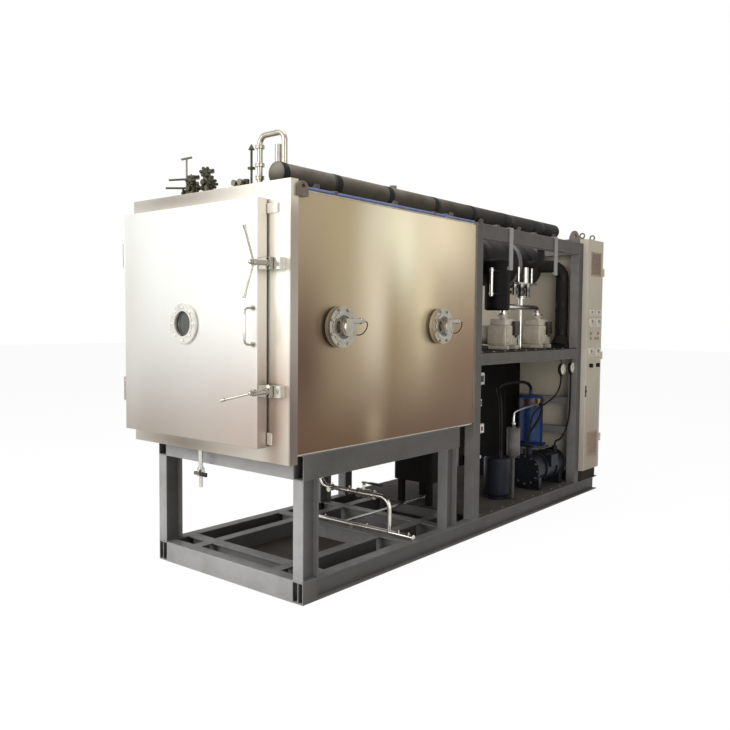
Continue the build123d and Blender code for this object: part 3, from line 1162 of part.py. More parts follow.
with BuildPart() as isolation_valve:
    near_y, far_y = VALVE_Y - VALVE_SIDE_OFFSET, VALVE_Y + VALVE_SIDE_OFFSET
    for body_y, low_z, size in ((VALVE_Y, MANIFOLD_TOP_Z, VALVE_CENTRE_SIZE),
                                (near_y, VALVE_SIDE_LOW_Z, VALVE_SIDE_SIZE),
                                (far_y, MANIFOLD_TOP_Z, VALVE_SIDE_SIZE)):
        rod((PUMP_INLET_X, body_y, low_z), (PUMP_INLET_X, body_y, VALVE_PLATE_Z), size)
    block((PUMP_INLET_X - VALVE_PLATE_HALF_X, PUMP_INLET_X + VALVE_PLATE_HALF_X),
          (VALVE_Y - VALVE_PLATE_HALF_Y, VALVE_Y + VALVE_PLATE_HALF_Y),
          (VALVE_PLATE_Z, VALVE_PLATE_Z + VALVE_PLATE_THICK))
    rod_x = PUMP_INLET_X + VALVE_ROD_SHIFT_X
    for rod_y, size in ((VALVE_Y - VALVE_ROD_OFFSET, VALVE_ROD), (VALVE_Y, VALVE_PISTON_ROD),
                        (VALVE_Y + VALVE_ROD_OFFSET, VALVE_ROD)):
        rod((rod_x, rod_y, VALVE_PLATE_Z), (rod_x, rod_y, VALVE_ROD_TOP_Z), size)
    pipe([(PUMP_INLET_X, far_y, VALVE_SIDE_PIPE_Z), (CONDENSER_X, far_y, VALVE_SIDE_PIPE_Z),
          (CONDENSER_X, far_y, VALVE_SIDE_PIPE_TOP_Z)], VALVE_SIDE_PIPE, VALVE_SIDE_BEND)
    cut_round(condenser_axis, CONDENSER_RADIUS)
save(isolation_valve, "isolation_valve")

with BuildPart() as insulated_riser:
    pipe([(RISER_X, RISER_Y, SHELF_TOP + RISER_START_RISE), (RISER_X, RISER_Y, CONDENSER_Z),
          (CONDENSER_X + CONDENSER_RADIUS / 2, RISER_Y - RISER_LEAN_Y, CONDENSER_Z)], RISER_PIPE, RISER_BEND)
    cut_round(condenser_axis, CONDENSER_RADIUS)
    cone((RISER_X, RISER_Y - RISER_CUFF_BACK[0], SHELF_TOP + RISER_CUFF_RISE[0]),
         (RISER_X, RISER_Y - RISER_CUFF_BACK[1], SHELF_TOP + RISER_CUFF_RISE[1]), *RISER_CUFF_DIAMETERS)
    block((RISER_X - RISER_BOX_X[0], RISER_X + RISER_BOX_X[1]),
          (RISER_Y - RISER_BOX_Y[0], RISER_Y + RISER_BOX_Y[1]), (SHELF_TOP, SHELF_TOP + RISER_BOX_HIGH))
save(insulated_riser, "insulated_riser")

# ================================================================ lower machine bay
with BuildPart() as oil_tank:
    block(*OIL_TANK_SPANS)
    fillet(oil_tank.edges().filter_by(Axis.Z), OIL_TANK_ROUND)
    tank_x, tank_y, tank_z = OIL_TANK_SPANS
    for leg_x in (tank_x[0] + OIL_TANK_LEG_INSET, tank_x[1] - OIL_TANK_LEG_INSET):
        for leg_y in (tank_y[0] + OIL_TANK_LEG_INSET, tank_y[1] - OIL_TANK_LEG_INSET):
            block((leg_x - OIL_TANK_LEG_HALF, leg_x + OIL_TANK_LEG_HALF),
                  (leg_y - OIL_TANK_LEG_HALF, leg_y + OIL_TANK_LEG_HALF), (BAY_FLOOR, tank_z[0] + 1))
    rear_x, rear_y, rear_top = REAR_TANK_SPANS
    block(rear_x, rear_y, (BAY_FLOOR, rear_top))
save(oil_tank, "oil_tank")

receiver_port = (RECEIVER_X + RECEIVER_PORT_X, RECEIVER_Y - RECEIVER_PORT_Y)
with BuildPart() as liquid_receiver:
    rod((RECEIVER_X, RECEIVER_Y, BAY_FLOOR + RECEIVER_ROUND), (RECEIVER_X, RECEIVER_Y, RECEIVER_TOP),
        2 * RECEIVER_RADIUS)
    fillet(liquid_receiver.edges().filter_by(GeomType.CIRCLE), RECEIVER_ROUND)
    rod((RECEIVER_X, RECEIVER_Y, BAY_FLOOR), (RECEIVER_X, RECEIVER_Y, BAY_FLOOR + RECEIVER_SKIRT_HIGH),
        RECEIVER_SKIRT)
    rod((*receiver_port, RECEIVER_TOP - 2), (*receiver_port, RECEIVER_PORT_TOP_Z), RECEIVER_PORT)
    rod((FILTER_X, FILTER_Y, BAY_FLOOR), (FILTER_X, FILTER_Y, BAY_FLOOR + FILTER_FOOT_HIGH), FILTER_FOOT)
    rod((FILTER_X, FILTER_Y, BAY_FLOOR), (FILTER_X, FILTER_Y, FILTER_SPAN[0]), FILTER_NECK)
    cone((FILTER_X, FILTER_Y, FILTER_CONE[0]), (FILTER_X, FILTER_Y, FILTER_CONE[1]),
         FILTER_NECK - 2, 2 * FILTER_RADIUS - 4)
    rod((FILTER_X, FILTER_Y, FILTER_SPAN[0]), (FILTER_X, FILTER_Y, FILTER_SPAN[1]), 2 * FILTER_RADIUS)
    rod((FILTER_X, FILTER_Y, FILTER_SPAN[1] - 2), (FILTER_X, FILTER_Y, FILTER_PORT_TOP_Z), FILTER_NECK)
save(liquid_receiver, "liquid_receiver")

with BuildPart() as compressor_stand:
    block((BLUE_X - STAND_HALF, BLUE_X + STAND_HALF), (BLUE_Y - STAND_HALF, BLUE_Y + STAND_HALF),
          (BLUE_BOTTOM - STAND_PLATE, BLUE_BOTTOM))
    for leg_x in (BLUE_X - STAND_LEG_LEFT_X[0], BLUE_X - STAND_LEG_LEFT_X[1]):
        for leg_y in (BLUE_Y - STAND_LEG_OFFSET_Y, BLUE_Y + STAND_LEG_OFFSET_Y):
            block((leg_x - STAND_LEG_HALF, leg_x + STAND_LEG_HALF),
                  (leg_y - STAND_LEG_HALF, leg_y + STAND_LEG_HALF),
                  (BAY_FLOOR, BLUE_BOTTOM - STAND_PLATE + 1))
save(compressor_stand, "compressor_stand")

with BuildPart() as upright_compressor:
    rod((BLUE_X, BLUE_Y, BLUE_BOTTOM + BLUE_LIFT), (BLUE_X, BLUE_Y, BLUE_TOP), 2 * BLUE_RADIUS)
    fillet(upright_compressor.edges().filter_by(GeomType.CIRCLE), BLUE_ROUND)
    rod((BLUE_X, BLUE_Y, BLUE_TOP - BLUE_BAND_DROP[0]), (BLUE_X, BLUE_Y, BLUE_TOP - BLUE_BAND_DROP[1]),
        2 * BLUE_RADIUS + BLUE_BAND_RIM)
    for foot_x in (BLUE_X - BLUE_FOOT_OFFSET, BLUE_X + BLUE_FOOT_OFFSET):
        for foot_y in (BLUE_Y - BLUE_FOOT_OFFSET, BLUE_Y + BLUE_FOOT_OFFSET):
            rod((foot_x, foot_y, BLUE_BOTTOM), (foot_x, foot_y, BLUE_BOTTOM + BLUE_FOOT_HIGH), BLUE_FOOT)
    block((BLUE_X - BLUE_PLATE_HALF, BLUE_X + BLUE_PLATE_HALF),
          (BLUE_Y - BLUE_PLATE_HALF, BLUE_Y + BLUE_PLATE_HALF),
          (BLUE_BOTTOM + BLUE_PLATE_RISE[0], BLUE_BOTTOM + BLUE_PLATE_RISE[1]))
    rod((BLUE_X + BLUE_PORT_FROM[0], BLUE_Y - BLUE_PORT_FROM[1], BLUE_PORT_Z),
        (BLUE_X + BLUE_PORT_TO[0], BLUE_Y - BLUE_PORT_TO[1], BLUE_PORT_Z), BLUE_PORT)
    rod((BLUE_X, BLUE_Y, BLUE_TOP - 2), (BLUE_X, BLUE_Y, BLUE_TOP + BLUE_TOP_PORT_HIGH), BLUE_TOP_PORT)
save(upright_compressor, "upright_compressor")

with BuildPart() as screw_compressor:
    rod((SCREW_X, SCREW_SPAN_Y[0], SCREW_Z), (SCREW_X, SCREW_SPAN_Y[1], SCREW_Z),
        2 * SCREW_RADIUS - SCREW_BODY_STEP)
    for ring_y in SCREW_RING_Y:
        rod((SCREW_X, ring_y, SCREW_Z), (SCREW_X, ring_y + SCREW_RING_WIDTH, SCREW_Z), 2 * SCREW_RADIUS)
    for foot_y in SCREW_FOOT_Y:
        block((SCREW_X - SCREW_FOOT_HALF, SCREW_X + SCREW_FOOT_HALF), (foot_y, foot_y + SCREW_FOOT_WIDTH),
              (BAY_FLOOR, SCREW_Z - SCREW_FOOT_DROP))
    box_x, box_y, box_z = SCREW_BOX
    block((SCREW_X + box_x[0], SCREW_X + box_x[1]), box_y, (SCREW_Z + box_z[0], SCREW_Z + box_z[1]))
    rod((SCREW_X, SCREW_SUCTION_Y, SCREW_Z + SCREW_SUCTION_RISE),
        (SCREW_X, SCREW_SUCTION_Y, SCREW_SUCTION_TOP_Z), SCREW_SUCTION)
    rod((SCREW_X + SCREW_OIL_X, SCREW_OIL_Y, SCREW_Z + SCREW_OIL_RISE),
        (SCREW_X + SCREW_OIL_X, SCREW_OIL_Y, SCREW_OIL_TOP_Z), SCREW_OIL)
    rod((SCREW_X - SCREW_OUT_X, SCREW_OUT_Y, SCREW_Z + SCREW_OIL_RISE),
        (SCREW_X - SCREW_OUT_X, SCREW_OUT_Y, SCREW_OUT_TOP_Z), SCREW_OUT)
save(screw_compressor, "screw_compressor")

with BuildPart() as pressure_gauges:
    for gauge_y, gauge_z in GAUGE_PLACES:
        rod((GAUGE_SPAN_X[0], gauge_y, gauge_z), (GAUGE_SPAN_X[1], gauge_y, gauge_z), GAUGE_SIZE)
        rod((GAUGE_X, gauge_y, gauge_z + GAUGE_PIPE_START),
            (GAUGE_X, gauge_y, SHELF_BEAM_TOP - SHELF_BEAM_HEIGHT), GAUGE_PIPE)
        rod((GAUGE_X, gauge_y, gauge_z - GAUGE_PIPE_START), (GAUGE_X, gauge_y, gauge_z - GAUGE_TAIL_DROP),
            GAUGE_TAIL)
save(pressure_gauges, "pressure_gauges")

with BuildPart() as post_boxes:
    for x_span, deep, z_span in POST_BOXES:
        block(x_span, (BAY_FRONT_Y, BAY_FRONT_Y + deep), z_span)
    rod((POST_BUTTON_X, BAY_FRONT_Y, POST_BUTTON_Z),
        (POST_BUTTON_X, BAY_FRONT_Y + POST_BUTTON_DEEP, POST_BUTTON_Z), POST_BUTTON)
    x_span, deep, z_span = POST_SMALL_BOX
    block(x_span, (BAY_FRONT_Y, BAY_FRONT_Y + deep), z_span)
save(post_boxes, "post_boxes")

front_gauge, rear_gauge = [(GAUGE_X, gauge_y, gauge_z - GAUGE_TAIL_DROP - CONTACT_GAP)
                           for gauge_y, gauge_z in GAUGE_PLACES]
suction_end = (SCREW_X, SCREW_SUCTION_Y, SCREW_SUCTION_TOP_Z + CONTACT_GAP)
oil_end = (SCREW_X + SCREW_OIL_X, SCREW_OIL_Y, SCREW_OIL_TOP_Z + CONTACT_GAP)
out_end = (SCREW_X - SCREW_OUT_X, SCREW_OUT_Y, SCREW_OUT_TOP_Z + CONTACT_GAP)
with BuildPart() as refrigerant_lines:
    pipe([front_gauge, (585, 1180, 950), (540, 1120, 850), (430, 1010, 760), (430, 940, 620), suction_end],
         FRONT_GAUGE_HOSE, 45)
    pipe([rear_gauge, (585, 1366, 900), (584, 1360, 660), (530, 1338, 500), (470, 1330, 480), oil_end],
         REAR_GAUGE_HOSE, 30)
    pipe([(BLUE_X, BLUE_Y, BLUE_TOP + BLUE_TOP_PORT_HIGH + CONTACT_GAP), (280, 1250, 990), (280, 640, 990),
          (*receiver_port, 900), (*receiver_port, RECEIVER_PORT_TOP_Z + CONTACT_GAP)], SUCTION_HOSE, 60)
    pipe([(BLUE_X + 137, BLUE_Y - 91.3, BLUE_PORT_Z), (447, 1138.7, 800), (450, 1090, 690), (350, 1052, 540),
          out_end], DISCHARGE_HOSE, 24)
save(refrigerant_lines, "refrigerant_lines")

# ================================================================ pipework below the chamber
with BuildPart() as drain_pipework:
    pipe([(DRAIN_RISER_X, DRAIN_Y, CLADDING_BOTTOM), (DRAIN_RISER_X, DRAIN_Y, DRAIN_HIGH_Z),
          (DRAIN_CORNER_X, DRAIN_Y, DRAIN_HIGH_Z), (DRAIN_CORNER_X, DRAIN_Y, DRAIN_LOW_Z)],
         DRAIN_PIPE, DRAIN_BEND)
    rod((DRAIN_HEADER_START_X, DRAIN_Y, DRAIN_LOW_Z), (DRAIN_OUTLET_X, DRAIN_Y, DRAIN_LOW_Z), DRAIN_PIPE)
    for ferrule_x in (DRAIN_HEADER_START_X, *DRAIN_JOINER_X, DRAIN_OUTLET_X - DRAIN_FERRULE_THICK):
        rod((ferrule_x, DRAIN_Y, DRAIN_LOW_Z), (ferrule_x + DRAIN_FERRULE_THICK, DRAIN_Y, DRAIN_LOW_Z),
            DRAIN_PIPE + DRAIN_FERRULE_RIM)
    rod((DRAIN_VALVE_X - DRAIN_VALVE_HALF, DRAIN_Y, DRAIN_HIGH_Z),
        (DRAIN_VALVE_X + DRAIN_VALVE_HALF, DRAIN_Y, DRAIN_HIGH_Z), DRAIN_VALVE_BODY)
    for disc_x in (DRAIN_VALVE_X - DRAIN_DISC_BEFORE, DRAIN_VALVE_X + DRAIN_DISC_AFTER,
                   DRAIN_CORNER_X - DRAIN_UNION_INSET):
        rod((disc_x, DRAIN_Y, DRAIN_HIGH_Z), (disc_x + DRAIN_DISC_THICK, DRAIN_Y, DRAIN_HIGH_Z), DRAIN_DISC)
    rod((DRAIN_VALVE_X, DRAIN_Y, DRAIN_HIGH_Z), (DRAIN_VALVE_X, DRAIN_Y, DRAIN_STEM_TOP_Z), DRAIN_STEM)
    rod((DRAIN_BRANCH_X, DRAIN_Y, DRAIN_HIGH_Z), (DRAIN_BRANCH_X, DRAIN_Y - DRAIN_BRANCH_REACH, DRAIN_HIGH_Z),
        DRAIN_BRANCH)
    rod((DRAIN_BRANCH_X, DRAIN_Y - DRAIN_BRANCH_CAP_SPAN[0], DRAIN_HIGH_Z),
        (DRAIN_BRANCH_X, DRAIN_Y - DRAIN_BRANCH_CAP_SPAN[1], DRAIN_HIGH_Z), DRAIN_BRANCH_CAP)
    prop_x, (prop_front, prop_back) = DRAIN_PROP_SPANS
    block(prop_x, (DRAIN_Y - prop_front, DRAIN_Y + prop_back), (BEAM_HEIGHT, DRAIN_LOW_Z))
    pipe([(TANK_DRAIN_X, DRAIN_Y, DRAIN_LOW_Z), (TANK_DRAIN_X, TANK_DRAIN_Y, DRAIN_LOW_Z),
          (TANK_DRAIN_X, TANK_DRAIN_Y, OIL_TANK_SPANS[2][0])], TANK_DRAIN_PIPE, TANK_DRAIN_BEND)
    drain_y = (FLANGE_FRONT_Y + FLANGE_BACK_Y) / 2
    body_low_z = FRONT_DRAIN_Z - FRONT_DRAIN_BODY_HIGH
    lever_z = FRONT_DRAIN_Z - FRONT_DRAIN_BODY_HIGH / 2
    rod((OPENING_X, drain_y, FLANGE_BOTTOM), (OPENING_X, drain_y, FRONT_DRAIN_Z), FRONT_DRAIN_PIPE)
    rod((OPENING_X, drain_y, FRONT_DRAIN_Z), (OPENING_X, drain_y, body_low_z), FRONT_DRAIN_BODY)
    rod((OPENING_X, drain_y, body_low_z), (OPENING_X, drain_y, FRONT_DRAIN_Z - FRONT_DRAIN_SPOUT_DROP),
        FRONT_DRAIN_SPOUT)
    rod((OPENING_X, drain_y, lever_z), (OPENING_X, drain_y - FRONT_DRAIN_GLAND_REACH, lever_z),
        FRONT_DRAIN_GLAND)
save(drain_pipework, "drain_pipework")

with BuildPart() as drain_lever:
    rod((DRAIN_VALVE_X, DRAIN_Y, DRAIN_STEM_TOP_Z + CONTACT_GAP),
        (DRAIN_VALVE_X, DRAIN_Y, LEVER_COLLAR_TOP_Z), LEVER_COLLAR)
    block((DRAIN_VALVE_X - LEVER_BACK, DRAIN_VALVE_X + LEVER_REACH),
          (DRAIN_Y - LEVER_HALF_WIDTH, DRAIN_Y + LEVER_HALF_WIDTH),
          (LEVER_COLLAR_TOP_Z - LEVER_THICK, LEVER_COLLAR_TOP_Z))
save(drain_lever, "drain_lever")

with BuildPart() as front_drain_lever:
    lever_y = drain_y - FRONT_DRAIN_GLAND_REACH - CONTACT_GAP
    lever_front_y = lever_y - FRONT_LEVER_COLLAR_LENGTH
    rod((OPENING_X, lever_y, lever_z), (OPENING_X, lever_front_y, lever_z), FRONT_LEVER_COLLAR)
    block((OPENING_X - FRONT_LEVER_HALF_WIDTH, OPENING_X + FRONT_LEVER_REACH),
          (lever_front_y, lever_front_y + FRONT_LEVER_THICK),
          (lever_z - FRONT_LEVER_HALF_WIDTH, lever_z + FRONT_LEVER_HALF_WIDTH))
save(front_drain_lever, "front_drain_lever")

# ================================================================ control cabinet
with BuildPart() as cabinet_plinth:
    block((CABINET_LEFT, SKID_RIGHT + PLINTH_PROUD), (CABINET_FRONT_Y, CABINET_BACK_Y),
          (BEAM_HEIGHT, CABINET_BOTTOM))
    block((CABINET_LEFT + PLINTH_WALL, SKID_RIGHT - PLINTH_WALL),
          (CABINET_FRONT_Y + PLINTH_WALL, CABINET_BACK_Y - PLINTH_WALL),
          (BEAM_HEIGHT, CABINET_BOTTOM), mode=Mode.SUBTRACT)
save(cabinet_plinth, "cabinet_plinth")

with BuildPart() as cabinet_shell:
    block((CABINET_LEFT, CABINET_RIGHT), (CABINET_FRONT_Y, CABINET_BACK_Y), (CABINET_BOTTOM, CABINET_TOP))
    block((CABINET_LEFT + CABINET_SHEET, CABINET_RIGHT + 1),
          (CABINET_FRONT_Y + CABINET_SHEET, CABINET_BACK_Y - CABINET_SHEET),
          (CABINET_BOTTOM + CABINET_SHEET, CABINET_TOP - CABINET_SHEET), mode=Mode.SUBTRACT)
    for hinge_z in CABINET_HINGE_Z:
        low = hinge_z - CABINET_KNUCKLE_HIGH
        block((CABINET_RIGHT - CABINET_HINGE_BACK, CABINET_HINGE_X), (CABINET_BACK_Y, CABINET_HINGE_Y),
              (low, hinge_z))
        rod((CABINET_HINGE_X, CABINET_HINGE_Y, low), (CABINET_HINGE_X, CABINET_HINGE_Y, hinge_z),
            CABINET_KNUCKLE)
        rod((CABINET_HINGE_X, CABINET_HINGE_Y, hinge_z - 1),
            (CABINET_HINGE_X, CABINET_HINGE_Y, hinge_z + CABINET_KNUCKLE_HIGH), CABINET_PIN)
save(cabinet_shell, "cabinet_shell")

with BuildPart() as cabinet_door:
    door_y = (CABINET_FRONT_Y + CABINET_DOOR_MARGIN, CABINET_BACK_Y - CABINET_DOOR_MARGIN)
    door_z = (CABINET_BOTTOM + CABINET_DOOR_MARGIN, CABINET_TOP - CABINET_DOOR_MARGIN)
    block((CABINET_DOOR_BACK_X, CABINET_FACE_X), door_y, door_z)
    block((CABINET_DOOR_BACK_X, CABINET_FACE_X - CABINET_SHEET),
          (door_y[0] + CABINET_SHEET, door_y[1] - CABINET_SHEET),
          (door_z[0] + CABINET_SHEET, door_z[1] - CABINET_SHEET), mode=Mode.SUBTRACT)
    for louvre_z in LOUVRE_Z:
        block((CABINET_DOOR_BACK_X, CABINET_FACE_X),
              (LOUVRE_Y - LOUVRE_WIDTH * LOUVRE_HOLE_SHARE, LOUVRE_Y + LOUVRE_WIDTH * LOUVRE_HOLE_SHARE),
              (louvre_z - LOUVRE_HEIGHT * LOUVRE_HOLE_SHARE, louvre_z + LOUVRE_HEIGHT * LOUVRE_HOLE_SHARE),
              mode=Mode.SUBTRACT)
    for hinge_z in CABINET_HINGE_Z:
        low, high = hinge_z + CONTACT_GAP, hinge_z + CABINET_KNUCKLE_HIGH
        block((CABINET_FACE_X, CABINET_HINGE_X), (CABINET_HINGE_Y - CABINET_LEAF_REACH, CABINET_HINGE_Y),
              (low, high))
        rod((CABINET_HINGE_X, CABINET_HINGE_Y, low), (CABINET_HINGE_X, CABINET_HINGE_Y, high),
            CABINET_KNUCKLE)
        rod((CABINET_HINGE_X, CABINET_HINGE_Y, low), (CABINET_HINGE_X, CABINET_HINGE_Y, high),
            CABINET_PIN + 2 * HINGE_FIT, mode=Mode.SUBTRACT)
save(cabinet_door, "cabinet_door")

with BuildPart() as louvre_panels:
    slot_pitch = LOUVRE_HEIGHT * LOUVRE_FIELD_SHARE / LOUVRE_SLOTS
    for louvre_z in LOUVRE_Z:
        block((CABINET_FACE_X, CABINET_FACE_X + LOUVRE_THICK),
              (LOUVRE_Y - LOUVRE_WIDTH / 2, LOUVRE_Y + LOUVRE_WIDTH / 2),
              (louvre_z - LOUVRE_HEIGHT / 2, louvre_z + LOUVRE_HEIGHT / 2))
        for slot in range(LOUVRE_SLOTS):
            slot_z = louvre_z + (slot - (LOUVRE_SLOTS - 1) / 2) * slot_pitch
            block((CABINET_FACE_X, CABINET_FACE_X + LOUVRE_THICK),
                  (LOUVRE_Y - LOUVRE_WIDTH * LOUVRE_SLOT_SHARE, LOUVRE_Y + LOUVRE_WIDTH * LOUVRE_SLOT_SHARE),
                  (slot_z - slot_pitch / 4, slot_z + slot_pitch / 4), mode=Mode.SUBTRACT)
save(louvre_panels, "louvre_panels")

with BuildPart() as panel_instruments:
    for row_z, row_high, row_deep in INSTRUMENT_ROWS:
        for column in INSTRUMENT_COLUMNS:
            block((CABINET_FACE_X, CABINET_FACE_X + row_deep), column,
                  (row_z - row_high / 2, row_z + row_high / 2))
    for lamp_y, lamp_z in LAMP_PLACES:
        rod((CABINET_FACE_X, lamp_y, lamp_z), (CABINET_FACE_X + PANEL_LAMP_PROUD, lamp_y, lamp_z), PANEL_LAMP)
save(panel_instruments, "panel_instruments")

for selector_name, selector_y in zip(("selector_left", "selector_right"), SELECTOR_Y):
    with BuildPart() as selector:
        face_x = CABINET_FACE_X + CONTACT_GAP
        rod((face_x, selector_y, SELECTOR_Z), (face_x + SELECTOR_BASE, selector_y, SELECTOR_Z), SELECTOR_KNOB)
        block((face_x + SELECTOR_GRIP_SPAN[0], face_x + SELECTOR_GRIP_SPAN[1]),
              (selector_y - SELECTOR_GRIP_HALF, selector_y + SELECTOR_GRIP_HALF),
              (SELECTOR_Z - SELECTOR_KNOB / 2 + 1, SELECTOR_Z + SELECTOR_KNOB / 2 - 1))
    save(selector, selector_name)
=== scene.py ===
"""Looks of a production freeze dryer: its finishes, its fine pieces, the studio and the camera."""
import logging
import math
from dataclasses import dataclass, field, replace
from enum import Enum
from typing import Any, Callable, Sequence, Union

import bmesh
import bpy
from mathutils import Matrix, Vector


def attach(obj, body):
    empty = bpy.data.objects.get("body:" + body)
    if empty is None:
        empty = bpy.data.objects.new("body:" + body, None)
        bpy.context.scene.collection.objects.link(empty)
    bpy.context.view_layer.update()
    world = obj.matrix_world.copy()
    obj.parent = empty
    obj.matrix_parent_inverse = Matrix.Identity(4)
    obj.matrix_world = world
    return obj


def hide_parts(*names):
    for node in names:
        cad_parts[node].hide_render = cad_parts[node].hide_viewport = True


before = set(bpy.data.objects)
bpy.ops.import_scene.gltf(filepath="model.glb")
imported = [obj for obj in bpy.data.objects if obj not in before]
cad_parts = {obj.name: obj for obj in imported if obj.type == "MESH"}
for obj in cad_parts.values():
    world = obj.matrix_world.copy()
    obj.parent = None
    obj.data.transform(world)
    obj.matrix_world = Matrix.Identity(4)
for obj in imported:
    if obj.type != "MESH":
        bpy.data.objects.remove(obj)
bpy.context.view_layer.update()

log = logging.getLogger("freeze_dryer")
Vec3 = tuple[float, float, float]
Span = tuple[float, float]
MM = 0.001
EVERYWHERE = 1.0e6
TIP = 1.0e-6


class Direction(Enum):
    """Unit directions of the machine."""

    RIGHT = (1.0, 0.0, 0.0)
    LEFT = (-1.0, 0.0, 0.0)
    BACK = (0.0, 1.0, 0.0)
    FRONT = (0.0, -1.0, 0.0)
    UP = (0.0, 0.0, 1.0)
    DOWN = (0.0, 0.0, -1.0)


RIGHT, LEFT, BACK, FRONT, UP, DOWN = (way.value for way in Direction)


def linear(colour: str) -> tuple[float, float, float, float]:
    """Turn a written colour into the numbers that a shader takes.

    Args:
        colour: Six hexadecimal digits, red, green and blue.

    Returns:
        Red, green, blue and an alpha of 1, in linear light.
    """
    channels = [int(colour[i:i + 2], 16) / 255 for i in (0, 2, 4)]
    red, green, blue = (c / 12.92 if c <= 0.04045 else ((c + 0.055) / 1.055) ** 2.4 for c in channels)
    return red, green, blue, 1.0


def even(size: float) -> Vec3:
    """The same size along every axis."""
    return size, size, size


def linked(name: str, data: Any) -> bpy.types.Object:
    """Link a new object to the scene.

    Args:
        name: Name of the object.
        data: Mesh, curve, light or camera that it shows.

    Returns:
        The object.
    """
    made = bpy.data.objects.new(name, data)
    bpy.context.scene.collection.objects.link(made)
    return made


# ---------------------------------------------------------------- node sheets
Operand = Union["Sock", float]


def operator(operation: str, flipped: bool = False, clamp: bool = False) -> Callable[..., "Sock"]:
    """Make a method of a socket that adds one Math node.

    Args:
        operation: Blender's name of the operation.
        flipped: Whether the socket comes after the other operand.
        clamp: Whether the result is held between 0 and 1.

    Returns:
        The method, which takes the other operand where there is one.
    """
    def method(self: "Sock", *others: Operand) -> "Sock":
        """Add the Math node.

        Args:
            others: The other operand, where there is one.

        Returns:
            Result of the node.
        """
        operands = (*others, self) if flipped else (self, *others)
        settings = {"operation": operation, "use_clamp": clamp}
        return self.sheet.node("ShaderNodeMath", settings, dict(enumerate(operands)))
    return method


class Sock:
    """A node socket that takes part in sums: each operator adds a Math node."""

    __add__, __radd__ = operator("ADD"), operator("ADD", flipped=True)
    __sub__, __rsub__ = operator("SUBTRACT"), operator("SUBTRACT", flipped=True)
    __mul__, __rmul__ = operator("MULTIPLY"), operator("MULTIPLY", flipped=True)
    __truediv__ = operator("DIVIDE")
    exp, fract, above = operator("EXPONENT"), operator("FRACT"), operator("GREATER_THAN")
    held = operator("ADD", clamp=True)

    def __init__(self, sheet: "Sheet", socket: bpy.types.NodeSocket) -> None:
        """Wrap one output socket of a sheet."""
        self.sheet = sheet
        self.socket = socket

    def clamped(self) -> "Sock":
        """The same value held between 0 and 1."""
        return self.held(0.0)


Value = Union[Sock, float, int, bool, Sequence[float], str, Any]


class Sheet:
    """One node tree and the single way in which nodes are added to it."""

    def __init__(self, tree: bpy.types.NodeTree) -> None:
        """Start on an existing, empty tree."""
        self.tree = tree

    def node(self, kind: str, settings: dict[str, Any] | None = None,
             inputs: dict[Union[str, int], Value] | None = None, out: Union[str, int] = 0) -> Sock:
        """Add one node.

        Args:
            kind: Blender's node type.
            settings: Properties that are set first; "stops" sets a colour ramp.
            inputs: Values or links by socket name or number.
            out: The output that is handed back.

        Returns:
            The chosen output, or the node itself wrapped where it has none.
        """
        made = self.tree.nodes.new(kind)
        for key, value in (settings or {}).items():
            if key == "stops":
                ramp = made.color_ramp
                while len(ramp.elements) < len(value):
                    ramp.elements.new(0.5)
                for element, (place, colour) in zip(ramp.elements, value):
                    element.position, element.color = place, colour
            else:
                setattr(made, key, value)
        for key, value in (inputs or {}).items():
            socket = made.inputs[key]
            if isinstance(value, Sock):
                self.tree.links.new(value.socket, socket)
            else:
                socket.default_value = value
        return Sock(self, made.outputs[out] if len(made.outputs) else made.inputs[0])

    def vector(self, operation: str, first: Value, second: Value, out: Union[str, int] = 0) -> Sock:
        """Result of one Vector Math node."""
        return self.node("ShaderNodeVectorMath", {"operation": operation}, {0: first, 1: second}, out)

    def mix(self, factor: Value, first: Value, second: Value, blend: str = "MIX") -> Sock:
        """Blend of two colours.

        Args:
            factor: Share of the second colour.
            first: Colour below.
            second: Colour above.
            blend: Blend type.

        Returns:
            The blended colour.
        """
        settings = {"data_type": "RGBA", "blend_type": blend}
        return self.node("ShaderNodeMix", settings, {0: factor, 6: first, 7: second}, 2)

    def noise(self, position: Sock, size: Vec3, detail: float = 3.0, rough: float = 0.5) -> Sock:
        """Add noise with features of a given size.

        Args:
            position: Place at which it is read.
            size: Size of its features along each axis, in millimetres.
            detail: Number of finer layers.
            rough: Strength of the finer layers.

        Returns:
            The noise, from 0 to 1.
        """
        scaled = self.vector("MULTIPLY", position, tuple(1.0 / (s * MM) for s in size))
        return self.node("ShaderNodeTexNoise", {}, {"Vector": scaled, "Scale": 1.0, "Detail": detail,
                                                   "Roughness": rough}, 0)

    def axis(self, position: Sock, index: int) -> Sock:
        """One coordinate of a position."""
        return self.node("ShaderNodeSeparateXYZ", {}, {0: position}, index)


def blank(owner: Union[bpy.types.Material, bpy.types.World]) -> Sheet:
    """Empty the nodes of a material or world.

    Args:
        owner: The material or world.

    Returns:
        Its node sheet, with nothing on it.
    """
    owner.use_nodes = True
    owner.node_tree.nodes.clear()
    return Sheet(owner.node_tree)


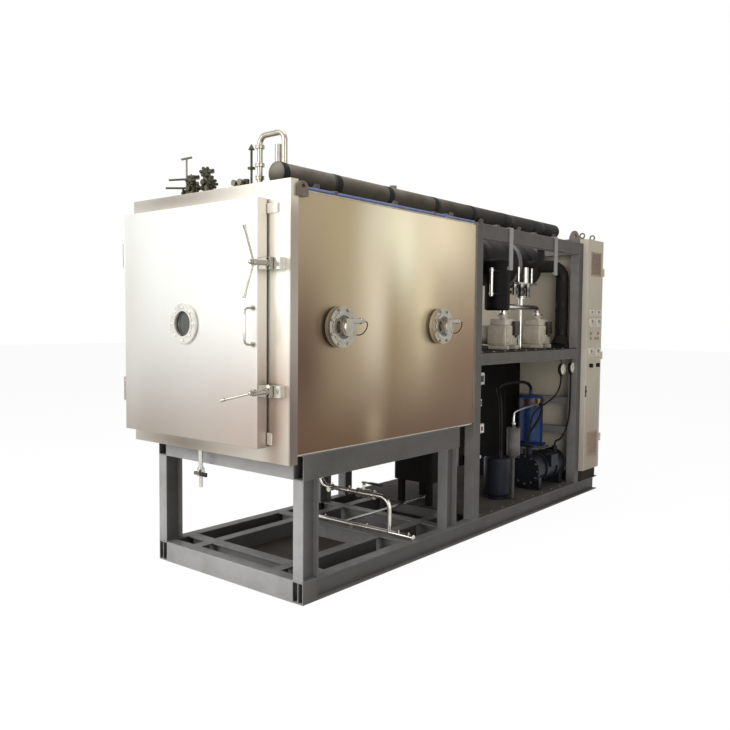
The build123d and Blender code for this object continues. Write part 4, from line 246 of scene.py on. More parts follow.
# ---------------------------------------------------------------- finishes
@dataclass(frozen=True)
class Tone:
    """A soft patch of colour that lies on a surface: mostly a painted highlight, reflection or shade, in
    places the thing's own colour.

    Attributes:
        place: Middle of the patch, in millimetres.
        reach: How far it spreads along each axis, in millimetres.
        colour: Its colour.
        strength: Its share in the middle.
    """

    place: Vec3
    reach: Vec3
    colour: str
    strength: float = 1.0

    def laid(self, sheet: Sheet, position: Sock, below: Value) -> Sock:
        """Lay this patch over a colour.

        Args:
            sheet: Sheet that the nodes are added to.
            position: Place at which the surface is read.
            below: Colour under the patch.

        Returns:
            The colour with the patch on it.
        """
        offset = sheet.vector("SUBTRACT", position, tuple(v * MM for v in self.place))
        scaled = sheet.vector("MULTIPLY", offset, tuple(1.0 / (v * MM) for v in self.reach))
        square = sheet.vector("DOT_PRODUCT", scaled, scaled, 1)
        return sheet.mix((square * -1.0).exp() * self.strength, below, linear(self.colour))


@dataclass(frozen=True)
class Finish:
    """What every finish has: a colour, soft tones on it, gloss, and a fine relief.

    Attributes:
        name: Name of the material.
        colour: Main colour.
        second: Colour that clouds into the main one.
        cloud: Share of the second colour.
        cloud_size: Size of the clouds, in millimetres.
        roughness: Mean roughness.
        metallic: Share of metal.
        tones: Soft patches of colour, mostly painted highlights, reflections and shade.
        relief: Height of the fine relief, in millimetres.
        relief_size: Size of the fine relief, in millimetres.
        coat: Weight of a clear coat.
        sheen: Strength of the mirror-like share of a plain surface.
    """

    name: str
    colour: str
    second: str
    cloud: float = 0.5
    cloud_size: Vec3 = even(160.0)
    roughness: float = 0.5
    metallic: float = 0.0
    tones: tuple[Tone, ...] = ()
    relief: float = 0.05
    relief_size: Vec3 = even(4.0)
    coat: float = 0.0
    sheen: float = 0.5

    def clouded(self, sheet: Sheet, position: Sock) -> Sock:
        """Lay the tones and the clouds over the main colour.

        Args:
            sheet: Sheet that the nodes are added to.
            position: Place at which the surface is read.

        Returns:
            The colour.
        """
        colour: Value = linear(self.colour)
        for tone in self.tones:
            colour = tone.laid(sheet, position, colour)
        cloud = sheet.noise(position, self.cloud_size, 4.0, 0.6)
        share = ((cloud - 0.42) * 3.0).clamped() * self.cloud
        return sheet.mix(share, colour, linear(self.second), "MULTIPLY")

    def surface(self, sheet: Sheet, position: Sock) -> tuple[Sock, Sock, Sock]:
        """The plain surface, with a roughness that varies a little.

        Args:
            sheet: Sheet that the nodes are added to.
            position: Place at which the surface is read.

        Returns:
            Colour, roughness and relief height.
        """
        fine = sheet.noise(position, self.relief_size, 2.0, 0.6)
        smear = sheet.noise(position, tuple(s * 0.6 for s in self.cloud_size), 3.0, 0.6)
        return self.clouded(sheet, position), (smear - 0.5) * 0.25 + self.roughness, fine

    def material(self) -> bpy.types.Material:
        """The material of this finish, made once.

        Returns:
            The material.
        """
        label = f"{self.name}_finish"
        known = bpy.data.materials.get(label)
        if known is not None:
            return known
        made = bpy.data.materials.new(label)
        sheet = blank(made)
        position = sheet.node("ShaderNodeTexCoord", out="Object")
        colour, roughness, height = self.surface(sheet, position)
        normal = sheet.node("ShaderNodeBump", {}, {"Strength": 1.0, "Distance": self.relief * MM,
                                                   "Height": height})
        shader = sheet.node("ShaderNodeBsdfPrincipled", {}, {
            "Base Color": colour, "Roughness": roughness.clamped(), "Metallic": self.metallic,
            "Coat Weight": self.coat, "Coat Roughness": 0.15, "Specular IOR Level": self.sheen,
            "Normal": normal, **self.extras()})
        sheet.node("ShaderNodeOutputMaterial", {}, {0: shader})
        return made

    def extras(self) -> dict[str, Value]:
        """More shader inputs; none for a plain finish."""
        return {}


@dataclass(frozen=True)
class Brushed(Finish):
    """Stainless steel with brush lines along one axis.

    Attributes:
        grain: Size of the brush lines along each axis, in millimetres.
        grain_share: How strongly the lines change the colour.
    """

    grain: Vec3 = (1.2, 1.2, 90.0)
    grain_share: float = 0.10
    metallic: float = 0.75
    roughness: float = 0.34
    relief: float = 0.02

    def surface(self, sheet: Sheet, position: Sock) -> tuple[Sock, Sock, Sock]:
        """The surface with brush lines.

        Args:
            sheet: Sheet that the nodes are added to.
            position: Place at which the surface is read.

        Returns:
            Colour, roughness and relief height.
        """
        line = sheet.noise(position, self.grain, 3.0, 0.65)
        broad = sheet.noise(position, tuple(v * 9.0 for v in self.grain), 3.0, 0.6)
        share = (line * 0.6 + broad * 0.4 - 0.5) * (2.0 * self.grain_share) + 0.5
        base = self.clouded(sheet, position)
        dark = sheet.mix(1.0, base, (0.78, 0.77, 0.75, 1.0), "MULTIPLY")
        light = sheet.mix(1.0, base, (1.16, 1.16, 1.15, 1.0), "MULTIPLY")
        colour = sheet.mix(share.clamped(), dark, light)
        return colour, (line - 0.5) * 0.16 + (broad - 0.5) * 0.12 + self.roughness, line


@dataclass(frozen=True)
class Painted(Finish):
    """Shop paint on steel, with dust, chips down to primer, a slight orange peel and painted shade on faces
    that look to the side.

    Attributes:
        chip: Colour of the chips.
        chips: Share of the surface with chips.
        dust: Colour of the dust that lies on faces that look up.
        side_shade: Tint of the painted shade on faces that look to the side; empty where there is none.
    """

    chip: str = "8f8678"
    chips: float = 0.03
    dust: str = "8d877d"
    side_shade: str = ""
    relief: float = 0.06
    relief_size: Vec3 = even(5.0)

    def surface(self, sheet: Sheet, position: Sock) -> tuple[Sock, Sock, Sock]:
        """The surface with dust, chips, orange peel and painted shade on faces that look to the side.

        Args:
            sheet: Sheet that the nodes are added to.
            position: Place at which the surface is read.

        Returns:
            Colour, roughness and relief height.
        """
        base = self.clouded(sheet, position)
        facing = sheet.node("ShaderNodeNewGeometry", out="Normal")
        upward = sheet.axis(facing, 2).clamped()
        # Painted shade: the side tint darkens faces that look to the side, as though less light falls on
        # them.
        if self.side_shade:
            sideways = sheet.axis(facing, 0)
            base = sheet.mix((sideways * sideways).clamped(), base, linear(self.side_shade), "MULTIPLY")
        settled = sheet.noise(position, even(70.0), 5.0, 0.7)
        dusty = sheet.mix((upward * settled * 0.8).clamped(), base, linear(self.dust))
        spot = sheet.noise(position, even(11.0), 4.0, 0.7)
        chipped = spot.above(0.5 + 0.27 * (1.0 - self.chips * 4.0))
        colour = sheet.mix(chipped * 0.55, dusty, linear(self.chip))
        peel = sheet.noise(position, self.relief_size, 2.0, 0.5)
        return colour, (settled - 0.5) * 0.3 + self.roughness, peel - chipped * 0.4


@dataclass(frozen=True)
class Lagged(Finish):
    """Closed-cell rubber foam: dull, with pores and taped seams at even steps.

    Attributes:
        seam_axis: Axis along which the seams follow each other.
        seam_step: Distance between seams, in millimetres.
        seam_width: Width of a seam, in millimetres.
        tape: Colour of the tape over a seam.
    """

    seam_axis: int = 1
    seam_step: float = 500.0
    seam_width: float = 46.0
    tape: str = "1c1b1a"
    sheen: float = 0.15
    roughness: float = 0.72
    relief: float = 0.35
    relief_size: Vec3 = even(9.0)

    def surface(self, sheet: Sheet, position: Sock) -> tuple[Sock, Sock, Sock]:
        """The surface with pores and tape bands.

        Args:
            sheet: Sheet that the nodes are added to.
            position: Place at which the surface is read.

        Returns:
            Colour, roughness and relief height.
        """
        along = sheet.axis(position, self.seam_axis)
        step = (along / (self.seam_step * MM)).fract()
        band = 1.0 - step.above(self.seam_width / self.seam_step)
        base = self.clouded(sheet, position)
        colour = sheet.mix(band * 0.7, base, linear(self.tape))
        pores = sheet.noise(position, self.relief_size, 4.0, 0.75)
        return colour, (pores - 0.5) * 0.2 + self.roughness - band * 0.25, pores * 0.7 + band * 0.8


@dataclass(frozen=True)
class Lens(Finish):
    """Dark glass or a tinted lens.

    Attributes:
        glow: Strength of the light behind it.
    """

    glow: float = 0.0
    roughness: float = 0.08
    relief: float = 0.0

    def surface(self, sheet: Sheet, position: Sock) -> tuple[Sock, Sock, Sock]:
        """Colour, a smeared low roughness, and a faint ripple."""
        smear = sheet.noise(position, even(40.0), 3.0, 0.6)
        return self.clouded(sheet, position), smear * 0.12 + self.roughness, smear

    def extras(self) -> dict[str, Value]:
        """Clear coat of the glass face, and the light behind a lit lens.

        Returns:
            Inputs of the shader, with their values.
        """
        more: dict[str, Value] = {"Coat Weight": 0.8, "Coat Roughness": 0.03}
        if self.glow:
            more.update({"Emission Color": linear(self.colour), "Emission Strength": self.glow})
        return more


# ---------------------------------------------------------------- shapes
def turned_to(direction: Vec3) -> Matrix:
    """Turn that takes Z to a direction."""
    return Vector(direction).to_track_quat("Z", "Y").to_matrix().to_4x4()


def around(radius: float, along: float, index: int, sides: int) -> Vector:
    """One corner of a circle about Z: its radius and height, its number and the count of corners."""
    angle = 2 * math.pi * index / sides
    return Vector((radius * math.cos(angle), radius * math.sin(angle), along))


def curve_through(name: str, points: Sequence[Vec3], diameter: float, rounds: int,
                  steps: int) -> bpy.types.Object:
    """A tube along a curve that eases its turns.

    Args:
        name: Name of the object.
        points: Points that the curve follows.
        diameter: Diameter of the tube.
        rounds: Fineness around the tube.
        steps: Fineness along it.

    Returns:
        The tube, as a curve object.
    """
    curve = bpy.data.curves.new(name, "CURVE")
    curve.dimensions, curve.bevel_depth = "3D", diameter / 2
    curve.bevel_resolution, curve.resolution_u, curve.use_fill_caps = rounds, steps, True
    spline = curve.splines.new("NURBS")
    spline.points.add(len(points) - 1)
    for point, place in zip(spline.points, points):
        point.co = (*place, 1.0)
    spline.order_u, spline.use_endpoint_u = 3, True
    return linked(name, curve)


class Shape:
    """A mesh under construction, in millimetres; it becomes one piece of the machine."""

    def __init__(self) -> None:
        """Start with nothing."""
        self.mesh = bmesh.new()

    def block(self, x: Span, y: Span, z: Span, edge: float = 1.5) -> "Shape":
        """Add a block with rounded edges.

        Args:
            x: Low and high side.
            y: Near and far side.
            z: Bottom and top.
            edge: Radius of its edges.

        Returns:
            This shape.
        """
        spans = (x, y, z)
        middle = Vector([(low + high) / 2 for low, high in spans])
        size = Matrix.Diagonal([high - low for low, high in spans] + [1.0])
        made = bmesh.ops.create_cube(self.mesh, matrix=Matrix.Translation(middle) @ size)
        edges = {e for v in made["verts"] for e in v.link_edges}
        radius = min(edge, 0.45 * min(high - low for low, high in spans))
        bmesh.ops.bevel(self.mesh, geom=list(edges), offset=radius, segments=2, profile=0.5, affect="EDGES")
        return self

    def turned(self, profile: Sequence[Span], start: Vec3, direction: Vec3, sides: int = 40) -> "Shape":
        """Add a turned form.

        Args:
            profile: Radius and distance along the axis, from one end to the other.
            start: Where the axis starts.
            direction: Which way the axis points.
            sides: Faces around the form.

        Returns:
            This shape.
        """
        place = Matrix.Translation(Vector(start)) @ turned_to(direction)
        rings = []
        for radius, along in profile:
            corners = sides if radius > TIP else 1
            rings.append([self.mesh.verts.new(place @ around(radius, along, i, sides))
                          for i in range(corners)])
        for low, high in zip(rings, rings[1:]):
            for i in range(sides):
                j = (i + 1) % sides
                corners = [low[i % len(low)], low[j % len(low)], high[j % len(high)], high[i % len(high)]]
                unique = list(dict.fromkeys(corners))
                if len(unique) > 2:
                    self.mesh.faces.new(unique)
        for ring, flip in ((rings[0], True), (rings[-1], False)):
            if len(ring) > 1:
                self.mesh.faces.new(ring[::-1] if flip else ring)
        return self

    def rod(self, start: Vec3, end: Vec3, diameter: float, edge: float = 1.0, sides: int = 32) -> "Shape":
        """Add a round bar with small chamfers at its ends.

        Args:
            start: Middle of its first end.
            end: Middle of its other end.
            diameter: Its diameter.
            edge: Largest size of the chamfers.
            sides: Faces around it.

        Returns:
            This shape.
        """
        axis = Vector(end) - Vector(start)
        radius, edge = diameter / 2, min(edge, diameter / 5, axis.length / 3)
        profile = ((radius - edge, 0.0), (radius, edge), (radius, axis.length - edge),
                   (radius - edge, axis.length))
        return self.turned(profile, start, tuple(axis.normalized()), sides)

    def ring(self, centre: Vec3, direction: Vec3, outer: float, inner: float, depth: float,
             edge: float = 1.0, sides: int = 64) -> "Shape":
        """Add a flat ring.

        Args:
            centre: Middle of its first face.
            direction: Which way it is deep.
            outer: Outer radius.
            inner: Inner radius.
            depth: How deep it is.
            edge: Chamfer of its edges.
            sides: Faces around it.

        Returns:
            This shape.
        """
        place = Matrix.Translation(Vector(centre)) @ turned_to(direction)
        section = ((inner + edge, 0.0), (outer - edge, 0.0), (outer, edge), (outer, depth - edge),
                   (outer - edge, depth), (inner + edge, depth), (inner, depth - edge), (inner, edge))
        rows = [[self.mesh.verts.new(place @ around(radius, along, i, sides)) for radius, along in section]
                for i in range(sides)]
        for row, after in zip(rows, rows[1:] + rows[:1]):
            for k in range(len(section)):
                n = (k + 1) % len(section)
                self.mesh.faces.new((row[k], after[k], after[n], row[n]))
        return self

    def wire(self, points: Sequence[Vec3], diameter: float) -> "Shape":
        """Add a bent wire through points, its turns eased.

        Args:
            points: Points that it follows.
            diameter: Its diameter.

        Returns:
            This shape.
        """
        holder = curve_through("wire", points, diameter, 3, 6)
        mesh = bpy.data.meshes.new_from_object(holder.evaluated_get(bpy.context.evaluated_depsgraph_get()))
        self.mesh.from_mesh(mesh)
        bpy.data.objects.remove(holder)
        return self

    def cast(self, node: str, edge: float = 0.0) -> "Shape":
        """Add the shape of a CAD node, its loose triangles merged and its long edges rounded.

        Args:
            node: Name of the node.
            edge: Radius of the rounding, none where 0.

        Returns:
            This shape.
        """
        part = bmesh.new()
        part.from_mesh(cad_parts[node].data)
        bmesh.ops.remove_doubles(part, verts=part.verts, dist=1.0e-6)
        bmesh.ops.scale(part, vec=even(1000.0), verts=part.verts)
        bmesh.ops.dissolve_limit(part, angle_limit=math.radians(0.6), verts=part.verts, edges=part.edges)
        for island in islands(part) if edge else ():
            sharp = {e for v in island for e in v.link_edges
                     if len(e.link_faces) == 2 and e.calc_length() > 8 * edge
                     and math.degrees(e.calc_face_angle(0.0)) > 50 and e.is_convex}
            bmesh.ops.bevel(part, geom=list(sharp), offset=edge, segments=1, profile=0.5,
                            affect="EDGES", clamp_overlap=True)
        merged = bpy.data.meshes.new("cast")
        part.to_mesh(merged)
        part.free()
        self.mesh.from_mesh(merged)
        bpy.data.meshes.remove(merged)
        return self

    def piece(self, name: str, finish: Finish, slot: str, stands_for: Sequence[str] = (),
              body: str = "machine", smooth: float = 32.0, outward: bool = True) -> bpy.types.Object:
        """Finish the mesh and put it on the machine.

        Args:
            name: Name of the piece.
            finish: Finish of its surface.
            slot: Material slot that the finish belongs to; not used.
            stands_for: CAD nodes that it takes the place of.
            body: Body that it moves with.
            smooth: Edges under this angle are shaded smooth.
            outward: Whether the faces are turned outwards again.

        Returns:
            The finished object.
        """
        if outward:
            bmesh.ops.recalc_face_normals(self.mesh, faces=self.mesh.faces)
        bmesh.ops.scale(self.mesh, vec=(MM, MM, MM), verts=self.mesh.verts)
        for face in self.mesh.faces:
            face.smooth = True
        for edge in self.mesh.edges:
            edge.smooth = edge.calc_face_angle(0.0) < math.radians(smooth)
        data = bpy.data.meshes.new(name)
        self.mesh.to_mesh(data)
        self.mesh.free()
        return placed(linked(name, data), finish, stands_for, body)


def islands(mesh: bmesh.types.BMesh) -> list[list[bmesh.types.BMVert]]:
    """Find the groups of joined corners of a mesh.

    Args:
        mesh: The mesh.

    Returns:
        Corners of each group.
    """
    left, groups = set(mesh.verts), []
    while left:
        queue = [left.pop()]
        group = list(queue)
        while queue:
            for edge in queue.pop().link_edges:
                for corner in edge.verts:
                    if corner in left:
                        left.discard(corner)
                        group.append(corner)
                        queue.append(corner)
        groups.append(group)
    return groups


def placed(made: bpy.types.Object, finish: Finish, stands_for: Sequence[str] = (),
           body: str = "machine") -> bpy.types.Object:
    """Give an object its finish and let it ride.

    Args:
        made: The object.
        finish: Its finish.
        stands_for: CAD nodes that it takes the place of.
        body: Body that it moves with.

    Returns:
        The same object.
    """
    made.data.materials.clear()
    made.data.materials.append(finish.material())
    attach(made, body)
    if stands_for:
        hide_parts(*stands_for)
    return made


# ---------------------------------------------------------------- repeated shapes
class Repeat:
    """A Geometry Nodes tree that puts one small form on each point of a carrier mesh."""

    def __init__(self, name: str, inputs: dict[str, float]) -> None:
        """Open a tree with named sizes.

        Args:
            name: Name of the tree.
            inputs: Its named sizes with their first values, in metres.
        """
        self.tree = bpy.data.node_groups.new(name, "GeometryNodeTree")
        face = self.tree.interface
        face.new_socket("Carrier", in_out="INPUT", socket_type="NodeSocketGeometry")
        for label, value in inputs.items():
            face.new_socket(label, in_out="INPUT", socket_type="NodeSocketFloat").default_value = value
        face.new_socket("Finish", in_out="INPUT", socket_type="NodeSocketMaterial")
        face.new_socket("Pieces", in_out="OUTPUT", socket_type="NodeSocketGeometry")
        self.sheet = Sheet(self.tree)
        self.entry = self.tree.nodes.new("NodeGroupInput")

    def given(self, label: str) -> Sock:
        """One named input of the tree."""
        return Sock(self.sheet, self.entry.outputs[label])

    def close(self, form: Sock) -> "Repeat":
        """Put the form on every point, turned to the point's facing, and end the tree.

        Args:
            form: Geometry of the small form, its foot at the origin and its axis along Z.

        Returns:
            This tree.
        """
        node = self.sheet.node
        facing = node("GeometryNodeInputNamedAttribute", {"data_type": "FLOAT_VECTOR"}, {"Name": "facing"})
        turn = node("FunctionNodeAlignRotationToVector", {"axis": "Z"}, {"Vector": facing})
        wobble = node("FunctionNodeRandomValue", {"data_type": "FLOAT"}, {2: 0.0, 3: math.tau, "Seed": 7}, 1)
        spin = node("FunctionNodeAxisAngleToRotation", {}, {"Axis": (0.0, 0.0, 1.0), "Angle": wobble})
        rotation = node("FunctionNodeRotateRotation", {"rotation_space": "LOCAL"}, {0: turn, 1: spin})
        points = node("GeometryNodeInstanceOnPoints", {}, {"Points": self.given("Carrier"), "Instance": form,
                                                           "Rotation": rotation})
        real = node("GeometryNodeRealizeInstances", {}, {0: points})
        dressed = node("GeometryNodeSetMaterial", {}, {"Geometry": real, "Material": self.given("Finish")})
        node("NodeGroupOutput", {}, {0: dressed})
        return self

    def made(self, name: str, places: Sequence[tuple[Vec3, Vec3]], finish: Finish, slot: str,
             body: str = "machine", **sizes: float) -> bpy.types.Object:
        """Run the tree on a set of places and keep the result as a plain mesh.

        Args:
            name: Name of the piece.
            places: Foot and facing of each form, in millimetres.
            finish: Its finish.
            slot: Its material slot; not used.
            body: Body that the piece moves with.
            sizes: Named inputs, in millimetres, with underscores for spaces.

        Returns:
            The finished object.
        """
        carrier = bpy.data.meshes.new(name)
        carrier.from_pydata([tuple(v * MM for v in foot) for foot, _ in places], [], [])
        facing = carrier.attributes.new("facing", "FLOAT_VECTOR", "POINT")
        for item, (_, way) in zip(facing.data, places):
            item.vector = way
        holder = linked(name, carrier)
        modifier = holder.modifiers.new(name, "NODES")
        modifier.node_group = self.tree
        wanted: dict[str, Any] = {label.replace("_", " "): size * MM for label, size in sizes.items()}
        wanted["Finish"] = finish.material()
        for item in self.tree.interface.items_tree:
            if item.item_type == "SOCKET" and item.in_out == "INPUT" and item.name in wanted:
                modifier[item.identifier] = wanted[item.name]
        graph = bpy.context.evaluated_depsgraph_get()
        mesh = bpy.data.meshes.new_from_object(holder.evaluated_get(graph))
        holder.modifiers.remove(modifier)
        holder.data = mesh
        mesh.name = name
        return placed(holder, finish, body=body)


def cylinder(sheet: Sheet, sides: int, radius: Value, depth: Value, foot: Value, top: Value = None) -> Sock:
    """A prism or cone inside a tree.

    Args:
        sheet: The tree's sheet.
        sides: Faces around it.
        radius: Its radius.
        depth: Its length.
        foot: Height of its foot.
        top: Radius at its top, the same where left out.

    Returns:
        Its geometry.
    """
    upper = radius if top is None else top
    cone = sheet.node("GeometryNodeMeshCone", {}, {"Vertices": sides, "Radius Top": upper,
                                                   "Radius Bottom": radius, "Depth": depth})
    lift = sheet.node("ShaderNodeCombineXYZ", {}, {"Z": foot})
    return sheet.node("GeometryNodeTransform", {}, {"Geometry": cone, "Translation": lift})


def joined(sheet: Sheet, *forms: Sock) -> Sock:
    """Join several geometries of a tree.

    Args:
        sheet: The tree's sheet.
        forms: The geometries.

    Returns:
        Their joined geometry.
    """
    join = sheet.tree.nodes.new("GeometryNodeJoinGeometry")
    for form in reversed(forms):
        sheet.tree.links.new(form.socket, join.inputs[0])
    return Sock(sheet, join.outputs[0])


def stack_tree(name: str, sizes: dict[str, float],
               layers: Sequence[tuple[int, str, float, float, float, float]]) -> Repeat:
    """A tree of layers on each other, such as a bolt, a nut or a screw.

    Args:
        name: Name of the tree.
        sizes: Named inputs with their first values; Height is one of them.
        layers: Sides of each layer, the input that its radius follows, its shares of that input at foot and
            top, and its shares of the height for its depth and its foot.

    Returns:
        The finished tree.
    """
    tree = Repeat(name, sizes)
    height = tree.given("Height")
    return tree.close(joined(tree.sheet, *(
        cylinder(tree.sheet, sides, tree.given(label) * low, height * depth, height * foot,
                 tree.given(label) * top) for sides, label, low, top, depth, foot in layers)))


def band_tree() -> Repeat:
    """Round bands or ribs about an axis: named inputs Radius, Width and Edge.

    Returns:
        The finished tree.
    """
    tree = Repeat("Round bands", {"Radius": 0.05, "Width": 0.02, "Edge": 0.002})
    radius, width, edge = (tree.given(label) for label in ("Radius", "Width", "Edge"))
    low = cylinder(tree.sheet, 40, radius - edge, edge, 0.0, radius)
    middle = cylinder(tree.sheet, 40, radius, width - edge * 2.0, edge)
    high = cylinder(tree.sheet, 40, radius, edge, width - edge, radius - edge)
    return tree.close(joined(tree.sheet, low, middle, high))


class Bars:
    """A Geometry Nodes tree of even bars: louvre slats, cooling fins, dial ticks."""

    def __init__(self) -> None:
        """Build the tree, with named inputs for its count, step, size and tilt."""
        self.repeat = bpy.data.node_groups.new("Even bars", "GeometryNodeTree")
        face = self.repeat.interface
        kinds = (("Start", "NodeSocketVector"), ("Step", "NodeSocketVector"), ("Size", "NodeSocketVector"),
                 ("Turn", "NodeSocketVector"), ("Count", "NodeSocketInt"), ("Finish", "NodeSocketMaterial"))
        for label, kind in kinds:
            face.new_socket(label, in_out="INPUT", socket_type=kind)
        face.new_socket("Bars", in_out="OUTPUT", socket_type="NodeSocketGeometry")
        sheet = Sheet(self.repeat)
        entry = self.repeat.nodes.new("NodeGroupInput")
        given = {label: Sock(sheet, entry.outputs[label]) for label, _ in kinds}
        line = sheet.node("GeometryNodeMeshLine", {"mode": "OFFSET"}, {
            "Count": given["Count"], "Start Location": given["Start"], "Offset": given["Step"]})
        bar = sheet.node("GeometryNodeMeshCube", {}, {"Size": given["Size"]})
        turned = sheet.node("FunctionNodeEulerToRotation", {}, {0: given["Turn"]})
        row = sheet.node("GeometryNodeInstanceOnPoints", {},
                         {"Points": line, "Instance": bar, "Rotation": turned})
        real = sheet.node("GeometryNodeRealizeInstances", {}, {0: row})
        dressed = sheet.node("GeometryNodeSetMaterial", {}, {"Geometry": real, "Material": given["Finish"]})
        sheet.node("NodeGroupOutput", {}, {0: dressed})

    def made(self, name: str, rows: Sequence[tuple[Vec3, Vec3, Vec3, Vec3, int]], finish: Finish,
             slot: str, body: str = "machine") -> bpy.types.Object:
        """Make rows of bars as one plain mesh.

        Args:
            name: Name of the piece.
            rows: Start, step and size in millimetres, turn in degrees, and count of each row.
            finish: Its finish.
            slot: Its material slot; not used.
            body: Body that the piece moves with.

        Returns:
            The finished object.
        """
        whole = bmesh.new()
        ids = {i.name: i.identifier for i in self.repeat.interface.items_tree if i.item_type == "SOCKET"}
        for start, step, size, turn, count in rows:
            holder = linked(name, bpy.data.meshes.new(name))
            modifier = holder.modifiers.new(name, "NODES")
            modifier.node_group = self.repeat
            for label, triple in (("Start", start), ("Step", step), ("Size", size)):
                modifier[ids[label]] = [v * MM for v in triple]
            modifier[ids["Turn"]] = [math.radians(v) for v in turn]
            modifier[ids["Count"]] = count
            modifier[ids["Finish"]] = finish.material()
            graph = bpy.context.evaluated_depsgraph_get()
            mesh = bpy.data.meshes.new_from_object(holder.evaluated_get(graph))
            whole.from_mesh(mesh)
            bpy.data.objects.remove(holder)
        data = bpy.data.meshes.new(name)
        whole.to_mesh(data)
        whole.free()
        return placed(linked(name, data), finish, body=body)


# ---------------------------------------------------------------- the finishes of the machine
UPRIGHT = (1.2, 1.2, 90.0)
LENGTHWISE = (1.2, 90.0, 1.2)

# Painted light: the patch on the fronts of the front legs is a painted highlight, the patches over the
# uprights by the bay and over the rear end of the skid rail under the cabinet are painted shade, and the side
# tint is painted shade on faces that look to the side.
FRAME_PAINT = Painted(
    "slate_frame_paint", "989795", "cdc9c1", cloud=0.6, cloud_size=(140.0, 220.0, 140.0), roughness=0.5,
    tones=(Tone((0, -1890, 350), (900, 60, 420), "c6c6c5", 0.9),
           Tone((560, 600, 1500), (300, 1100, 1300), "948a80", 0.6),
           Tone((615, 1500, 60), (300, 620, 110), "5a5552", 0.9)),
    chips=0.03, side_shade="9b9893", dust="5f5b56", sheen=0.3)
LUG_PAINT = Painted("lug_paint", "74675a", "c9bfb0", cloud=0.7, cloud_size=even(40.0), roughness=0.45,
                    dust="6b6258")
DECK_PAINT = Painted("deck_paint", "5f5a56", "b3ada3", cloud=0.8, roughness=0.6, chips=0.05, dust="635c55",
                     sheen=0.03)
SHELF_PAINT = Painted("pump_shelf_paint", "2c2927", "a39d92", cloud=0.7, roughness=0.6, chips=0.04,
                      dust="2a2624", sheen=0.03)
# Painted reflections and shade: the door darkens towards the bottom and the lower right, a faint darker strip
# runs by its left edge, and its right edge face carries a painted highlight.
DOOR_STEEL = Brushed(
    "door_steel", "e4e5e2", "ece9e2", cloud=0.25, cloud_size=(500.0, 500.0, 900.0), grain=UPRIGHT,
    grain_share=0.05,
    tones=(Tone((-500, -2061, 690), (1500, EVERYWHERE, 560), "a0958b", 0.95),
           Tone((420, -2061, 780), (380, EVERYWHERE, 460), "b9a79b", 0.75),
           Tone((-640, -2061, 1500), (90, EVERYWHERE, 500), "d3d1cb", 0.6),
           Tone((453, -2020, 2000), (6, EVERYWHERE, 700), "f4ebe0", 0.9)), roughness=0.38)
# Painted reflections and shade: the flange is darker along its top and bottom and towards its lower right as
# painted shade, and its right edge face runs from a painted highlight at the top to painted shade at the
# bottom.
FLANGE_STEEL = Brushed(
    "flange_steel", "dedcd3", "e4dfd6", cloud=0.3, cloud_size=(200.0, 200.0, 400.0), grain=UPRIGHT,
    grain_share=0.08,
    tones=(Tone((-260, -1986, 2160), (620, EVERYWHERE, 70), "999188", 0.95),
           Tone((560, -1986, 1050), (90, 60, 330), "c6b4a5", 0.85),
           Tone((500, -1986, 900), (60, 60, 420), "998376", 0.85),
           Tone((-250, -1986, 770), (900, EVERYWHERE, 90), "a69b8d", 0.85),
           Tone((-260, -1986, 775), (260, EVERYWHERE, 60), "7b7168", 0.7),
           Tone((620, -1955, 900), (13, EVERYWHERE, 620), "3e2c23", 0.97),
           Tone((620, -1955, 1900), (13, EVERYWHERE, 520), "897a69", 0.9),
           Tone((620, -1955, 2130), (13, EVERYWHERE, 70), "efe3cf", 0.9)), roughness=0.36)
# Painted reflections: the bright patches high on the side cladding are painted highlights, and the dark
# patches towards its ends and along its bottom are painted shade.
CLADDING_STEEL = Brushed(
    "cladding_steel", "b2a082", "fbf3e5", cloud=0.5, cloud_size=(520.0, 300.0, 420.0), grain=UPRIGHT,
    grain_share=0.13,
    tones=(Tone((607, -1060, 1990), (700, 300, 330), "fffdde", 1.0),
           Tone((607, -620, 2060), (700, 380, 300), "f8e8c9", 0.95),
           Tone((607, -1290, 1600), (700, 150, 520), "e3d6be", 0.95),
           Tone((607, -820, 1560), (700, 130, 420), "eddebb", 0.8),
           Tone((607, -1620, 2000), (700, 150, 400), "b3a37e", 0.75),
           Tone((607, -1130, 1250), (700, 90, 520), "978260", 0.6),
           Tone((607, -1900, 1250), (700, 230, 520), "5d473a", 0.92),
           Tone((607, -300, 1200), (700, 460, 380), "7f604b", 0.75),
           Tone((607, -1000, 740), (900, EVERYWHERE, 430), "624836", 0.92),
           Tone((607, -1300, 900), (700, 80, 150), "a08d73", 0.85)), roughness=0.34, metallic=0.82)
VESSEL_STEEL = Brushed("vessel_steel", "b9b6ae", "d5d1c8", grain=LENGTHWISE, roughness=0.32)
POLISHED = Brushed("polished_steel", "aca79c", "c4beb3", grain=even(9.0), grain_share=0.12, roughness=0.2,
                   metallic=0.9, cloud=0.5, cloud_size=even(60.0))
BRIGHT = Brushed("bright_steel", "dddad3", "b5b1a8", grain=even(7.0), grain_share=0.14, roughness=0.16,
                 metallic=0.92, cloud=0.5, cloud_size=even(45.0))
VALVE_STEEL = replace(BRIGHT, name="valve_steel", tones=(
    Tone((354, 961, 1700), (300, 300, 66), "26221f", 0.97),
    Tone((354, 961, 1752), (300, 300, 38), "1e1b19", 0.97)))
RING_STEEL = Brushed("window_ring_steel", "e9e7e0", "cfccc4", grain=even(9.0), grain_share=0.1,
                     roughness=0.24, metallic=0.8, cloud=0.5, cloud_size=even(50.0))
DARK_STEEL = Brushed("dark_steel", "7d776d", "a39d92", grain=even(6.0), roughness=0.32, metallic=0.8)
FOAM = Finish("insulating_foam", "c9b98c", "d8caa2", roughness=0.9, relief=0.6, relief_size=even(6.0))
